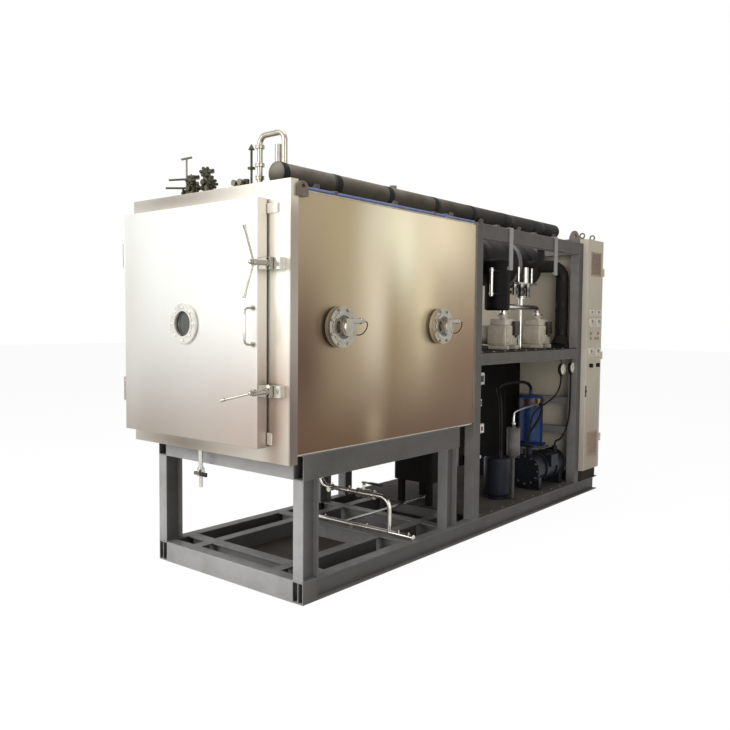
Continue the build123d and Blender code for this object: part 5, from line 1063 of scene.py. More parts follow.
SEAL = Finish("door_seal_rubber", "d9d6cd", "c0bcb2", roughness=0.6, relief=0.1)
RUBBER = Finish("black_rubber", "1d1c1b", "8c8780", roughness=0.62, relief=0.15, cloud=0.6, sheen=0.15)
GLASS = Lens("window_glass_dark", "3a3d38", "8a8c84", cloud=0.6, cloud_size=even(70.0))
# Painted highlight: the pale patches along the top of the lagged roof pipe stand for light falling on its
# upper side.
LAG = Lagged("black_foam_lagging", "3d3a35", "8a837a", cloud=0.7, cloud_size=(260.0, 260.0, 160.0),
             tones=(Tone((422, -1850, 2290), (90, 330, 60), "a19a90", 0.85),
                    Tone((440, -1000, 2300), (110, 800, 50), "aca190", 0.8)))
RISER_LAG = Lagged("riser_lagging", "292725", "8a837a", seam_axis=2, seam_step=230.0, cloud=0.7)
STRAP = Painted("strap_paint", "a09c9b", "cfcbc4", roughness=0.45, chips=0.02)
PUMP_PAINT = Painted("pump_paint", "f6ecda", "d3cdc0", cloud=0.6, cloud_size=even(70.0), roughness=0.42,
                     chips=0.03, relief=0.25, relief_size=even(3.0), dust="8d8577")
TERMINAL = Painted("terminal_box_paint", "3a2f29", "8b7d70", roughness=0.5, chips=0.02)
BLUE_PAINT = Painted("compressor_blue_paint", "1b3f74", "7d8797", cloud=0.8, cloud_size=even(90.0),
                     roughness=0.35, chips=0.03, dust="5d6673", sheen=0.3)
MAROON = Painted("maroon_paint", "36151a", "9f8a88", cloud=0.8, roughness=0.4, chips=0.04, dust="5b4a48")
BLACK_PAINT = Painted("black_compressor_paint", "25272e", "8d8a84", cloud=0.8, roughness=0.38, chips=0.05,
                      dust="1f1d20", relief=0.2, sheen=0.12)
RECEIVER_PAINT = replace(
    BLACK_PAINT, name="receiver_paint",
    tones=(Tone((516, 520, 590), (60, 60, 150), "b1aca6", 0.97),
           Tone((516, 520, 260), (17, 17, 280), "8d887f", 0.9)))
TANK_PAINT = Painted("tank_paint", "151211", "8d857a", cloud=0.8, roughness=0.6, chips=0.02, dust="1e1b18",
                     sheen=0.12)
BRONZE = Brushed("valve_bronze", "4c4b3a", "8f8b74", grain=even(3.0), grain_share=0.2, roughness=0.42,
                 metallic=0.6, cloud=0.9, cloud_size=even(24.0), relief=0.15)
BRASS = Brushed("bright_brass", "a98b4a", "cbb37a", grain=even(3.0), grain_share=0.15, roughness=0.25,
                metallic=0.9, cloud=0.6, cloud_size=even(20.0))
AIR_BLUE = Finish("air_tube_blue", "6f7fb4", "b9bfd6", cloud=0.6, roughness=0.35, relief=0.05)
BOX_WHITE = Finish("socket_white", "cfcdc4", "b0aba0", cloud=0.6, cloud_size=even(30.0), roughness=0.4)
# Painted light: the cabinet darkens towards the bottom as painted shade, and the pale strips by its front and
# rear edges are painted highlights.
CABINET_PAINT = Painted(
    "cabinet_paint", "e7dcc6", "cfc9bf", cloud=0.35, cloud_size=(500.0, 500.0, 700.0), roughness=0.42,
    chips=0.0,
    relief=0.12, relief_size=even(2.0), dust="c9c0b2", sheen=0.04,
    tones=(Tone((650, 1650, 300), (300, 400, 620), "cbbdac", 0.85),
           Tone((650, 1505, 1200), (60, 22, 1100), "f5efe4", 0.9),
           Tone((650, 1842, 620), (60, 38, 640), "efebe4", 0.95)))
PLINTH_PAINT = Painted("plinth_paint", "524b46", "8d877d", roughness=0.55, chips=0.03, sheen=0.0)
LOUVRE_PAINT = Painted("louvre_paint", "c9b09d", "d3cabf", roughness=0.45, chips=0.0, relief=0.1, sheen=0.04)
METER = Finish("meter_white", "efe9d6", "c5bfb0", cloud=0.4, cloud_size=even(30.0), roughness=0.3)
KNOB = Finish("knob_black", "232322", "8a8780", roughness=0.4, relief=0.08, sheen=0.25)
LAMP_RED = Lens("red_lamp", "9c2f24", "c08a80", roughness=0.2, glow=0.05)
LAMP_GREEN = Lens("green_lamp", "3e7d4a", "8fb095", roughness=0.2, glow=0.05)
DISPLAY = Lens("meter_window", "1f2422", "6a706b", roughness=0.12)


def rounded(node: str, finish: Finish, slot: str, edge: float = 1.5, smooth: float = 32.0,
            body: str = "machine") -> bpy.types.Object:
    """The dressed copy of a CAD node, with its long edges rounded.

    Args:
        node: CAD node that it takes the place of.
        finish: Its finish.
        slot: Its material slot; handed to the piece, which does not use it.
        edge: Radius of the rounding, in millimetres.
        smooth: Edges under this angle are shaded smooth.
        body: Body that it moves with.

    Returns:
        The piece.
    """
    shape = Shape().cast(node, edge)
    return shape.piece(f"{node}_dressed", finish, slot, (node,), body, smooth, outward=False)


@dataclass
class Assembly:
    """A part of the machine that builds and dresses its own pieces.

    Attributes:
        title: Name of the part.
        made: Its finished pieces.
    """

    title: str = "assembly"
    made: list[bpy.types.Object] = field(default_factory=list)

    def keep(self, *pieces: bpy.types.Object) -> None:
        """Remember finished pieces for the report."""
        self.made.extend(pieces)

    def dressed(self, *casts: tuple[Any, ...], body: str = "machine") -> None:
        """Keep dressed copies of CAD nodes.

        Args:
            casts: What rounded takes for each: node, finish, slot, edge and smoothing angle.
            body: Body that they move with.
        """
        self.keep(*(rounded(*cast, body=body) for cast in casts))

    def build(self) -> None:
        """Make the pieces of this part."""
        raise NotImplementedError

    def dress(self) -> None:
        """Give the carried-over CAD nodes their finish; none here."""

    def coat(self, node: str, finish: Finish) -> None:
        """Give a CAD node its finish.

        Args:
            node: Name of the node.
            finish: The finish.
        """
        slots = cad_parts[node].data.materials
        slots.clear()
        slots.append(finish.material())

    def run(self) -> None:
        """Build, dress and report."""
        self.build()
        self.dress()
        for piece in self.made:
            log.info("%s: %s, %d faces", self.title, piece.name, len(getattr(piece.data, "polygons", ())))


@dataclass
class SkidFrame(Assembly):
    """Skid, legs, posts, beams, decks and lifting lugs.

    Attributes:
        legs: Middle of each upright and its half width and half depth.
        skid_top: Top of the skid.
        side_x: Outer face of the skid, which no bead passes.
        bead: Width of a weld bead.
        deck_tops: Tops of the pump shelf and of the deck plates.
        screw_x: Distance of the screw rows from the middle.
    """

    title: str = "skid frame"
    legs: tuple[tuple[float, float, float, float], ...] = (
        (578, -1830, 37, 60), (-578, -1830, 37, 60), (561, -461, 37, 60), (-561, -461, 37, 60),
        (577.5, -179, 37.5, 40), (-577.5, -179, 37.5, 40), (577.5, 1455, 37.5, 40), (-577.5, 1455, 37.5, 40))
    skid_top: float = 120.0
    side_x: float = 615.0
    bead: float = 7.0
    deck_tops: Span = (1270.0, 126.0)
    screw_x: int = 585

    def build(self) -> None:
        """Rounded steelwork, weld beads at the feet of the uprights, and deck screws."""
        self.dressed(*((node, FRAME_PAINT, "frame_paint", 1.6) for node in (
            "skid_rails", "skid_inner_beams", "frame_posts", "frame_side_beams", "frame_cross_beams")))
        self.dressed(("lifting_lugs", LUG_PAINT, "frame_paint", 1.6),
                     ("deck_plates", DECK_PAINT, "deck_paint", 0.8),
                     ("pump_shelf", SHELF_PAINT, "deck_paint", 0.8))
        beads = Shape()
        for x, y, half_x, half_y in self.legs:
            corners = [(x + sx * half_x, y + sy * half_y) for sx, sy in ((-1, -1), (1, -1), (1, 1), (-1, 1))]
            for low, high in zip(corners, corners[1:] + corners[:1]):
                reach = min(1.0, (self.side_x - self.bead / 3) / max(abs(low[0]), abs(high[0]), 1.0))
                start, end = ((x * reach, y, self.skid_top) for x, y in (low, high))
                beads.rod(start, end, self.bead, 0.5, 8)
        self.keep(beads.piece("weld_beads", FRAME_PAINT, "frame_paint"))
        screws = [((x, y, z), UP) for z in self.deck_tops for x in (-self.screw_x, self.screw_x)
                  for y in range(-80, 1400, 160)]
        self.keep(SCREWS.made("deck_screws", screws, DARK_STEEL, "frame_paint", Width=16, Height=6))


@dataclass
class Chamber(Assembly):
    """Vessel, flange, cladding, shelves, hinge brackets, keepers and the trims of the cladding.

    Attributes:
        side_x: Outer face of the right cladding.
        left_x: Outer face of the left cladding.
        front_y: Front end of the cladding.
        back_y: Rear end of the cladding.
        low_z: Bottom of the cladding.
        high_z: Top of the cladding.
        trim: Width and height of an edge trim.
    """

    title: str = "chamber"
    side_x: float = 607.0
    left_x: float = -707.0
    front_y: float = -1932.0
    back_y: float = -220.0
    low_z: float = 786.0
    high_z: float = 2140.0
    trim: Span = (9.0, 1.6)

    def build(self) -> None:
        """Rounded steelwork and shelves, edge trims and cover screws."""
        self.dressed(
            ("chamber_flange", FLANGE_STEEL, "flange_stainless", 2.0),
            ("chamber_cladding", CLADDING_STEEL, "cladding_stainless", 2.0),
            ("chamber_vessel", VESSEL_STEEL, "vessel_stainless", 1.0),
            ("drying_shelves", VESSEL_STEEL, "vessel_stainless", 2.0),
            ("shelf_rack", VESSEL_STEEL, "vessel_stainless", 1.0),
            ("hinge_brackets", POLISHED, "flange_stainless", 1.5),
            ("keeper_brackets", RING_STEEL, "flange_stainless", 1.5))
        wide, high = self.trim
        trims = Shape()
        for x, way in ((self.side_x, 1), (self.left_x, -1)):
            proud = tuple(sorted((x, x + way * high)))
            trims.block(proud, (self.front_y, self.back_y), (self.low_z, self.low_z + wide), 0.5)
            trims.block(proud, (self.front_y, self.back_y), (self.high_z - wide, self.high_z), 0.5)
            trims.block(proud, (self.back_y - wide, self.back_y), (self.low_z + wide, self.high_z - wide),
                        0.5)
        self.keep(trims.piece("cladding_trims", POLISHED, "cladding_stainless"))
        roof = [((x, y, self.high_z), UP) for x in (-690, -50, 590) for y in range(-1900, -230, 208)]
        self.keep(SCREWS.made("roof_screws", roof, POLISHED, "cladding_stainless", Width=9, Height=3))

    def dress(self) -> None:
        """The insulation between vessel and cladding."""
        self.coat("chamber_insulation", FOAM)


@dataclass
class Door(Assembly):
    """Door with its window, seal, grab handle, hinge leaves and latches.

    Attributes:
        window: Middle of the window on the front of its ring.
        nuts: Number of nuts around the window.
        nut_circle: Radius of the circle that they stand on.
        grab_x: Middle of the grab handle.
        grab_y: Axis of the grip.
        grip: Low and high end of the grip sleeve.
        latch_x: Axis of the latches.
        latch_z: Height of each latch, with its body and the slope of its arms.
    """

    title: str = "door"
    window: Vec3 = (-130.0, -2081.0, 1457.0)
    nuts: int = 8
    nut_circle: float = 91.25
    grab_x: float = 422.0
    grab_y: float = -2118.0
    grip: Span = (1388.0, 1509.0)
    latch_x: float = 523.0
    latch_z: tuple[tuple[str, str, float, float], ...] = (
        ("latch_upper", "upper_latch", 1763.0, 90.0), ("latch_lower", "lower_latch", 1122.0, 15.0))

    def build(self) -> None:
        """Door skin, window, handle and latches."""
        self.dressed(
            ("door_shell", DOOR_STEEL, "door_stainless", 0.0),
            ("door_seal", SEAL, "seal_rubber", 2.0),
            ("hinge_leaves", POLISHED, "door_stainless", 1.5),
            ("latch_bearings", POLISHED, "polished_stainless", 2.0),
            ("grab_handle", POLISHED, "polished_stainless", 0.0, 40.0), body="door")
        grip = Shape().turned(((6.3, self.grip[0]), (8.4, self.grip[0] + 4), (9.0, self.grip[0] + 40),
                               (8.2, sum(self.grip) / 2), (9.0, self.grip[1] - 40), (8.4, self.grip[1] - 4),
                               (6.3, self.grip[1])), (self.grab_x, self.grab_y, 0), UP)
        self.keep(grip.piece("grab_handle_grip", DOOR_STEEL, "door_stainless", body="door"))
        self.build_window()
        for node, body, height, slope in self.latch_z:
            self.build_latch(node, body, height, slope)

    def build_window(self) -> None:
        """Ring with a raised lip, domed nuts, the glass and the dark throat behind it."""
        x, y, z = self.window
        ring = Shape().ring((x, y + 20, z), FRONT, 112.5, 70.0, 17.0, 3.0, 96)
        ring.ring((x, y + 4, z), FRONT, 82.0, 69.0, 6.0, 1.5, 96)
        self.keep(ring.piece("window_ring_dressed", RING_STEEL, "sight_glass", ("window_ring",), body="door"))
        places = [((x + self.nut_circle * math.cos(a), y + 3, z + self.nut_circle * math.sin(a)),
                   FRONT) for a in (2 * math.pi * k / self.nuts for k in range(self.nuts))]
        self.keep(DOMES.made("window_nuts", places, RING_STEEL, "sight_glass", body="door", Across=15,
                             Height=10))
        pane = Shape().turned(((74.0, 0.0), (74.0, 23.0), (60.0, 24.4), (30.0, 25.0), (0.0, 25.2)),
                              (x, y + 45, z), FRONT, 64)
        self.keep(pane.piece("window_pane", GLASS, "sight_glass", ("window_glass",), body="door"))

    def build_latch(self, node: str, body: str, height: float, slope: float) -> None:
        """One latch: the CAD form, a washer, a sleeve and a hub nut on its spindle, and the bolts of its
        bearing.

        Args:
            node: CAD node of the latch.
            body: Body of the latch.
            height: Height of its spindle.
            slope: Angle of its arms; not used.
        """
        self.dressed((node, POLISHED, "polished_stainless", 0.0, 40.0), body=body)
        x, front = self.latch_x, -2171.0
        hub = Shape().turned(((15.5, 0), (17, 1.5), (17, 7), (15, 9)), (x, -2060, height), FRONT)
        hub.turned(((16.5, 0), (17.5, 1.5), (17.5, 22.5), (16.5, 24)), (x, front + 35, height), FRONT)
        hub.turned(((11, 0), (11, 5), (8, 9), (3, 10.5), (0.0, 10.8)), (x, front, height), FRONT)
        self.keep(hub.piece(f"{node}_hub", POLISHED, "polished_stainless", body=body))
        bolts = [((x, -2056.0, height + offset), FRONT) for offset in (23, -23)]
        self.keep(BOLTS.made(f"{node}_bearing_bolts", bolts, BRONZE, "polished_stainless", body="door",
                             Across=9, Height=6, Washer=7))


@dataclass
class SidePorts(Assembly):
    """The two lamp ports on the right side of the chamber.

    Attributes:
        places: Middle of each port, along and up.
        clamp_x: Outer face of the clamp ring.
    """

    title: str = "side ports"
    places: tuple[Span, ...] = ((-1630.0, 1447.0), (-672.0, 1452.0))
    clamp_x: float = 656.0

    def build(self) -> None:
        """Clamp rings, bolts, lamp housings with their arms and wires."""
        self.dressed(("port_glasses", GLASS, "sight_glass", 0.0),
                     ("port_lamps", POLISHED, "polished_stainless", 1.0, 40.0))
        nuts, rings, wires = [], Shape(), Shape()
        for y, z in self.places:
            rings.ring((self.clamp_x - 1, y, z), RIGHT, 84.0, 62.0, 5.0, 1.5, 72)
            rings.ring((607.2, y, z), RIGHT, 92.0, 76.5, 4.0, 1.0, 72)
            rings.turned(((36, 0), (39, 2), (39, 6), (30, 12), (12, 15), (0.0, 15.5)), (690, y, z),
                         RIGHT, 48)
            rings.turned(((12.0, 0), (17.0, 3.0), (17.0, 14.0), (10.0, 30.0), (7.0, 44.0), (0.0, 45.0)),
                         (690, y + 92, z + 33), BACK)
            wires.wire([(690, y + 136, z + 33), (690, y + 160, z + 30), (680, y + 168, z - 10),
                        (664, y + 130, z - 50), (660, y + 95, z - 40)], 6.0)
            for k in range(8):
                angle = math.pi * (k + 0.5) / 4
                nuts.append(((self.clamp_x, y + 97 * math.cos(angle), z + 97 * math.sin(angle)),
                             RIGHT))
        self.keep(rings.piece("port_rings", POLISHED, "polished_stainless"),
                  wires.piece("port_lamp_wires", RUBBER, "hose_black", outward=False),
                  BOLTS.made("port_bolts", nuts, POLISHED, "polished_stainless",
                             Across=13, Height=9, Washer=9))


@dataclass
class RoofPipes(Assembly):
    """Lagged pipe, U pipe, air line and the small valves on the roof.

    Attributes:
        pipe_x: Axis of the lagged pipe, across.
        pipe_z: Axis of the lagged pipe, up.
        pipe_radius: Its radius.
        bands: Places of the tape bands along it.
        fittings_y: Where the fittings stand, along the machine.
        lobes: Lobes of a hand wheel.
        wheels: Stem foot of each hand wheel, across and up, its aim and its radius.
        spigots: Each small fitting: place across, foot, top and diameter.
    """

    title: str = "roof pipes"
    pipe_x: float = 422.0
    pipe_z: float = 2242.0
    pipe_radius: float = 58.0
    bands: tuple[float, ...] = (-1898.0, -1480.0, -1010.0, -520.0, -60.0, 400.0, 860.0)
    fittings_y: float = -1850.0
    lobes: int = 6
    wheels: tuple[tuple[float, float, Vec3, float], ...] = (
        (-318.0, 2262.0, (0.5, -0.8, 0.3), 30.0), (-318.0, 2215.0, (-0.9, -0.4, 0.0), 26.0),
        (-318.0, 2240.0, (0.8, 0.5, 0.2), 26.0), (-185.0, 2290.0, (0.5, -0.8, 0.4), 32.0),
        (-185.0, 2232.0, (-0.6, -0.8, 0.0), 28.0), (-185.0, 2255.0, (0.9, -0.2, -0.1), 28.0),
        (-185.0, 2300.0, (-0.8, 0.3, 0.5), 24.0))
    spigots: tuple[tuple[float, float, float, float], ...] = (
        (-60.0, 2140.0, 2188.0, 13.0), (20.0, 2140.0, 2206.0, 15.0), (110.0, 2140.0, 2240.0, 12.0),
        (170.0, 2140.0, 2196.0, 16.0))

    def build(self) -> None:
        """Pipes with their bands, valves, handles and clamps."""
        self.dressed(
            ("insulated_top_pipe", LAG, "black_insulation", 0.0, 40.0),
            ("pipe_supports", FRAME_PAINT, "frame_paint", 1.0),
            ("u_pipe", POLISHED, "polished_stainless", 0.0, 40.0),
            ("top_valves", BRONZE, "valve_bronze", 0.0, 40.0),
            ("air_line", AIR_BLUE, "air_blue", 0.8, 40.0))
        self.dressed(("t_handle", DARK_STEEL, "valve_bronze", 0.0, 40.0), body="roof_valve_handle")
        for side in ("left", "right"):
            self.dressed((f"vent_knob_{side}", DARK_STEEL, "knob_black", 1.0, 40.0), body=f"{side}_vent_knob")
        bands = [((self.pipe_x, y, self.pipe_z), BACK) for y in self.bands]
        self.keep(BANDS.made("lagging_bands", bands, RUBBER, "black_insulation",
                             Radius=self.pipe_radius + 1.2, Width=44, Edge=1))
        collars = Shape()
        for z in (2154.0, 2246.0, 2314.0, 2410.0):
            collars.ring((245, self.fittings_y, z), UP, 24.0, 14.9, 6.0, 1.5, 40)
        self.keep(collars.piece("u_pipe_collars", POLISHED, "polished_stainless"))
        self.build_wheels()
        nuts = [((x + 30 * math.cos(a), self.fittings_y + 30 * math.sin(a), z), UP)
                for x, z in ((-318, 2314), (-185, 2334)) for a in (k * math.pi / 2 + 0.4 for k in range(4))]
        self.keep(BOLTS.made("valve_bolts", nuts, DARK_STEEL, "valve_bronze", Across=9, Height=6, Washer=6))

    def build_wheels(self) -> None:
        """Lobed hand wheels with their stems and glands, and the small pale fittings beside them."""
        wheels, pale = Shape(), Shape()
        for x, z, side, radius in self.wheels:
            hub = Vector((x, self.fittings_y, z))
            aim = Vector(side).normalized()
            tip = hub + aim * 62
            turn = aim.to_track_quat("Z", "Y")
            wheels.rod(tuple(hub), tuple(tip), 15).rod(tuple(hub + aim * 18), tuple(hub + aim * 40), 30)
            wheels.rod(tuple(tip - aim * 5), tuple(tip + aim * 7), radius * 0.9)
            for k in range(self.lobes):
                angle = 2 * math.pi * k / self.lobes
                spoke = turn @ Vector((math.cos(angle), math.sin(angle), 0.0)) * radius * 0.74
                wheels.rod(tuple(tip + spoke - aim * 7), tuple(tip + spoke + aim * 7), radius * 0.62, 2.5, 14)
        for x, low, high, width in self.spigots:
            pale.rod((x, self.fittings_y, low), (x, self.fittings_y, high), width)
            pale.rod((x, self.fittings_y, high - 12), (x, self.fittings_y, high), width * 1.9)
            pale.rod((x, self.fittings_y, low), (x, self.fittings_y, low + 8), width * 2.2)
        self.keep(wheels.piece("hand_wheels", BRONZE, "valve_bronze"),
                  pale.piece("roof_spigots", RING_STEEL, "polished_stainless"))


@dataclass
class UpperBay(Assembly):
    """Ice condenser, straps, expansion tank, pumps, manifold, isolation valve and lagged riser.

    Attributes:
        pumps: Middle of each pump along the machine.
        front_x: Front face of a pump body.
        manifold_x: Axis of the manifold, across.
        straps: Middle of each condenser strap.
    """

    title: str = "upper bay"
    pumps: tuple[float, ...] = (673.0, 1250.0)
    front_x: float = 400.0
    manifold_x: float = 320.0
    straps: tuple[float, ...] = (240.0, 965.0)

    def build(self) -> None:
        """Condenser, tank, manifold and riser, with bands and bolts."""
        self.dressed(
            ("ice_condenser", LAG, "black_insulation", 0.0, 40.0),
            ("insulated_riser", RISER_LAG, "black_insulation", 1.5, 40.0),
            ("condenser_straps", STRAP, "strap_grey", 0.8, 40.0),
            ("expansion_tank", TANK_PAINT, "black_insulation", 0.0, 40.0),
            ("vacuum_manifold", BRIGHT, "polished_stainless", 0.0, 40.0),
            ("isolation_valve", VALVE_STEEL, "polished_stainless", 1.0, 40.0))
        bands = [((120.0, y, 1960.0), BACK) for y in (-125.0, 420.0, 800.0, 1130.0)]
        self.keep(BANDS.made("condenser_bands", bands, RUBBER, "black_insulation",
                             Radius=186.4, Width=48, Edge=1.2))
        nuts = [((self.manifold_x + sx * 52, 961 + y, 1802.0), UP)
                for sx in (-1, 1) for y in (-138, -60, 60, 138)]
        nuts += [((616.0, y, z), RIGHT) for y in self.straps for z in (1900.0, 2100.0)]
        self.keep(BOLTS.made("valve_and_strap_bolts", nuts, DARK_STEEL, "polished_stainless",
                             Across=14, Height=5, Washer=11))
        clamps = Shape()
        for y in self.pumps:
            clamps.ring((self.manifold_x, y, 1539), UP, 46.0, 37.5, 14.0, 3.0, 48)
        clamps.ring((self.manifold_x, 961, 1684), UP, 48.0, 37.6, 14.0, 3.0, 48)
        self.keep(clamps.piece("manifold_clamps", POLISHED, "polished_stainless"))
        level = Shape().rod((470, 225, 1671), (470, 225, 1879), 23.6)
        for z in (1690, 1860):
            level.ring((470, 225, z - 10), UP, 16.0, 11.9, 20.0, 3.0, 32)
        self.keep(level.piece("level_glass", RING_STEEL, "sight_glass"))
        self.build_pumps()

    def build_pumps(self) -> None:
        """Both vacuum pumps with fins, sight glasses, caps and terminal boxes."""
        body, boxes, rows = Shape(), Shape(), []
        screws = []
        for y in self.pumps:
            left, right = y - 100, y + 100
            body.block((235, self.front_x), (left, right), (1300, 1460), 14)
            body.turned(((60, 0), (73, 8), (75, 20), (75, 118), (70, 130), (40, 134)),
                        (236, y, 1380), LEFT, 48)
            body.block((250, 388), (left + 14, right - 14), (1459, 1505), 12)
            body.turned(((33, 0), (28, 6), (28, 26), (42, 29), (42, 41)), (self.manifold_x, y, 1504), UP)
            body.turned(((24, 0), (24, 3), (20, 4), (20, 12), (16, 16), (0, 17)), (372, y - 66, 1500), UP)
            for foot in (left + 25, right - 25):
                body.block((245, 414), (foot - 20, foot + 20), (1270, 1301), 4)
            body.turned(((17, 0), (17, 5), (14, 8), (9, 8.5)), (self.front_x - 2, y - 70, 1345), RIGHT)
            boxes.block((self.front_x - 2, self.front_x + 24), (right - 92, right - 12), (1380, 1492), 5)
            boxes.turned(((10, 0), (10, 8), (7, 12), (7, 20)), (self.front_x + 12, right - 52, 1382), DOWN)
            screws += [((self.front_x + 24, right - 52 + sy * 33, 1436 + sz * 48), RIGHT)
                       for sy in (-1, 1) for sz in (-1, 1)]
            rows.append(((self.front_x + 3, left + 16, 1380), (0, 17, 0), (10, 6, 128), (0, 0, 0), 5))
            rows.append(((318, left - 1.5, 1325), (0, 0, 22), (140, 6, 7), (0, 0, 0), 6))
            rows.append(((318, right + 1.5, 1325), (0, 0, 22), (140, 6, 7), (0, 0, 0), 6))
            rows.append(((self.front_x - 50, left + 40, 1507), (0, 20, 0), (60, 7, 6), (0, 0, 0), 6))
        self.keep(body.piece("vacuum_pumps_dressed", PUMP_PAINT, "pump_paint", ("vacuum_pumps",)),
                  boxes.piece("pump_terminal_boxes", TERMINAL, "pump_paint"),
                  BARS.made("pump_fins", rows, PUMP_PAINT, "pump_paint"),
                  SCREWS.made("terminal_screws", screws, POLISHED, "pump_paint", Width=7, Height=3))


@dataclass
class Hose:
    """A refrigerant hose: its route, its diameter and the route's length.

    Attributes:
        name: Name of the piece.
        route: Points that the hose follows, in millimetres.
        diameter: Outer diameter.
        length: Real length, in metres.
    """

    name: str
    route: tuple[Vec3, ...]
    diameter: float
    length: float

    def laid(self) -> bpy.types.Object:
        """The hose as a smooth curve that rides on the machine.

        Returns:
            The hose.
        """
        points = [tuple(v * MM for v in place) for place in self.route]
        made = placed(curve_through(self.name, points, self.diameter * MM, 4, 12), RUBBER,
                      ("refrigerant_lines",))
        return made


@dataclass
class LowerBay(Assembly):
    """Oil tank, receiver, both compressors, gauges, post boxes and hoses.

    Attributes:
        blue: Axis of the upright compressor and its highest point.
        screw: Axis of the screw compressor, across and up.
        gauges: Middle of each gauge, along and up.
    """

    title: str = "lower bay"
    blue: Vec3 = (280.0, 1250.0, 868.0)
    screw: Span = (430.0, 290.0)
    gauges: tuple[Span, ...] = ((1180.0, 1101.0), (1366.0, 1108.0))

    def build(self) -> None:
        """Every machine of the lower bay."""
        self.dressed(
            ("oil_tank", TANK_PAINT, "compressor_black", 3.0, 40.0),
            ("liquid_receiver", RECEIVER_PAINT, "compressor_black", 0.0, 40.0),
            ("compressor_stand", FRAME_PAINT, "frame_paint", 1.5),
            ("upright_compressor", BLUE_PAINT, "compressor_blue", 0.0, 40.0),
            ("screw_compressor", BLACK_PAINT, "compressor_black", 2.0, 40.0),
            ("post_boxes", BOX_WHITE, "box_grey", 3.0, 40.0))
        x, y, high = self.blue
        cap = Shape().turned(((106.6, 0), (106.6, 62), (101, 78), (88, 90), (68, 97), (30, 99.5), (15, 100)),
                             (x, y, high - 98), UP, 56)
        valve = Shape().turned(((19, 0), (19, 12), (15, 14), (15, 40), (19, 42), (19, 56), (12, 60), (0, 61)),
                               (x + 84, y - 56, 800), (0.8, -0.6, 0.0))
        valve.rod((x + 112, y - 76, 790), (x + 112, y - 76, 836), 17)
        valve.turned(((13, 0), (15, 3), (15, 12), (9, 16), (0, 17)), (x + 112, y - 76, 832), UP, 12)
        self.keep(cap.piece("compressor_cap", MAROON, "compressor_blue"),
                  valve.piece("compressor_valve", BRASS, "valve_bronze"))
        sx, sz = self.screw
        bolts = [((sx + 112 * math.cos(a), yy, sz + 112 * math.sin(a)), way)
                 for yy, way in ((880.0, FRONT), (1244.0, BACK))
                 for a in (k * math.pi / 6 for k in range(12))]
        self.keep(BOLTS.made("compressor_bolts", bolts, DARK_STEEL, "compressor_black",
                             Across=14, Height=9, Washer=9))
        rows = [((sx + 2, 905.0 + 160 * k, sz + 113), (0, 22, 0), (120, 6, 12), (0, 0, 0), 5)
                for k in range(2)]
        self.keep(BARS.made("compressor_ribs", rows, BLACK_PAINT, "compressor_black"))
        tube = Shape().wire([(516, 520, 700), (516, 520, 780), (505, 560, 800), (440, 940, 806),
                             (392, 1174, 800)], 13.0)
        tube.turned(((13, 0), (16, 3), (16, 16), (9, 20)), (516, 520, 702), UP, 6)
        self.keep(tube.piece("filter_tube", RING_STEEL, "polished_stainless"))
        self.build_gauges()
        self.build_sockets()
        for hose in HOSES:
            self.keep(hose.laid())

    def build_gauges(self) -> None:
        """Gauge cases, dials with ticks and a needle, and their glasses."""
        cases, faces, needles, glasses, rows = Shape(), Shape(), Shape(), Shape(), []
        for y, z in self.gauges:
            cases.turned(((30, 0), (44, 4), (44, 26), (43, 30), (38, 30), (37.5, 27), (0, 27)),
                         (572, y, z), RIGHT, 56)
            cases.rod((585, y, z + 36), (585, y, 1184), 16).rod((585, y, z - 36), (585, y, z - 62), 18)
            cases.turned(((14, 0), (14, 14), (9, 17)), (585, y, z - 60), UP, 6)
            faces.turned(((37.2, 0), (37.2, 0.5), (0, 0.6)), (598.8, y, z), RIGHT, 48)
            needles.block((599.8, 600.8), (y - 1.4, y + 1.4), (z - 6, z + 27), 0.4)
            needles.turned(((5, 0), (5, 1.6), (0, 2.2)), (599.6, y, z), RIGHT, 20)
            glasses.ring((601.8, y, z), RIGHT, 43.5, 37.0, 2.6, 0.8, 56)
            for k in range(11):
                angle = math.radians(-45 + 27 * k)
                rows.append(((599.9, y + 31 * math.cos(angle), z + 31 * math.sin(angle)), (0, 0, 0),
                             (0.6, 7.0 if k % 5 == 0 else 4.0, 1.4), (math.degrees(angle), 0, 0), 1))
        self.keep(cases.piece("gauge_cases", KNOB, "box_grey", ("pressure_gauges",)),
                  faces.piece("gauge_dials", METER, "instrument_white"),
                  needles.piece("gauge_needles", KNOB, "knob_black"),
                  glasses.piece("gauge_bezels", POLISHED, "polished_stainless"),
                  BARS.made("gauge_ticks", rows, KNOB, "knob_black"))

    def build_sockets(self) -> None:
        """Dark faces of the boxes on the front post, and the white plate of the socket."""
        fronts = Shape()
        fronts.block((614, 616.5), (-130, -106), (730, 760), 1.0)
        fronts.block((610, 613), (-136, -98), (1068, 1112), 1.2)
        fronts.block((603, 606), (-132, -110), (910, 938), 1.0)
        square = Shape().block((611, 615), (-142, -94), (721, 769), 2.0)
        self.keep(fronts.piece("socket_faces", KNOB, "box_grey"),
                  square.piece("socket_plate", METER, "box_grey"))


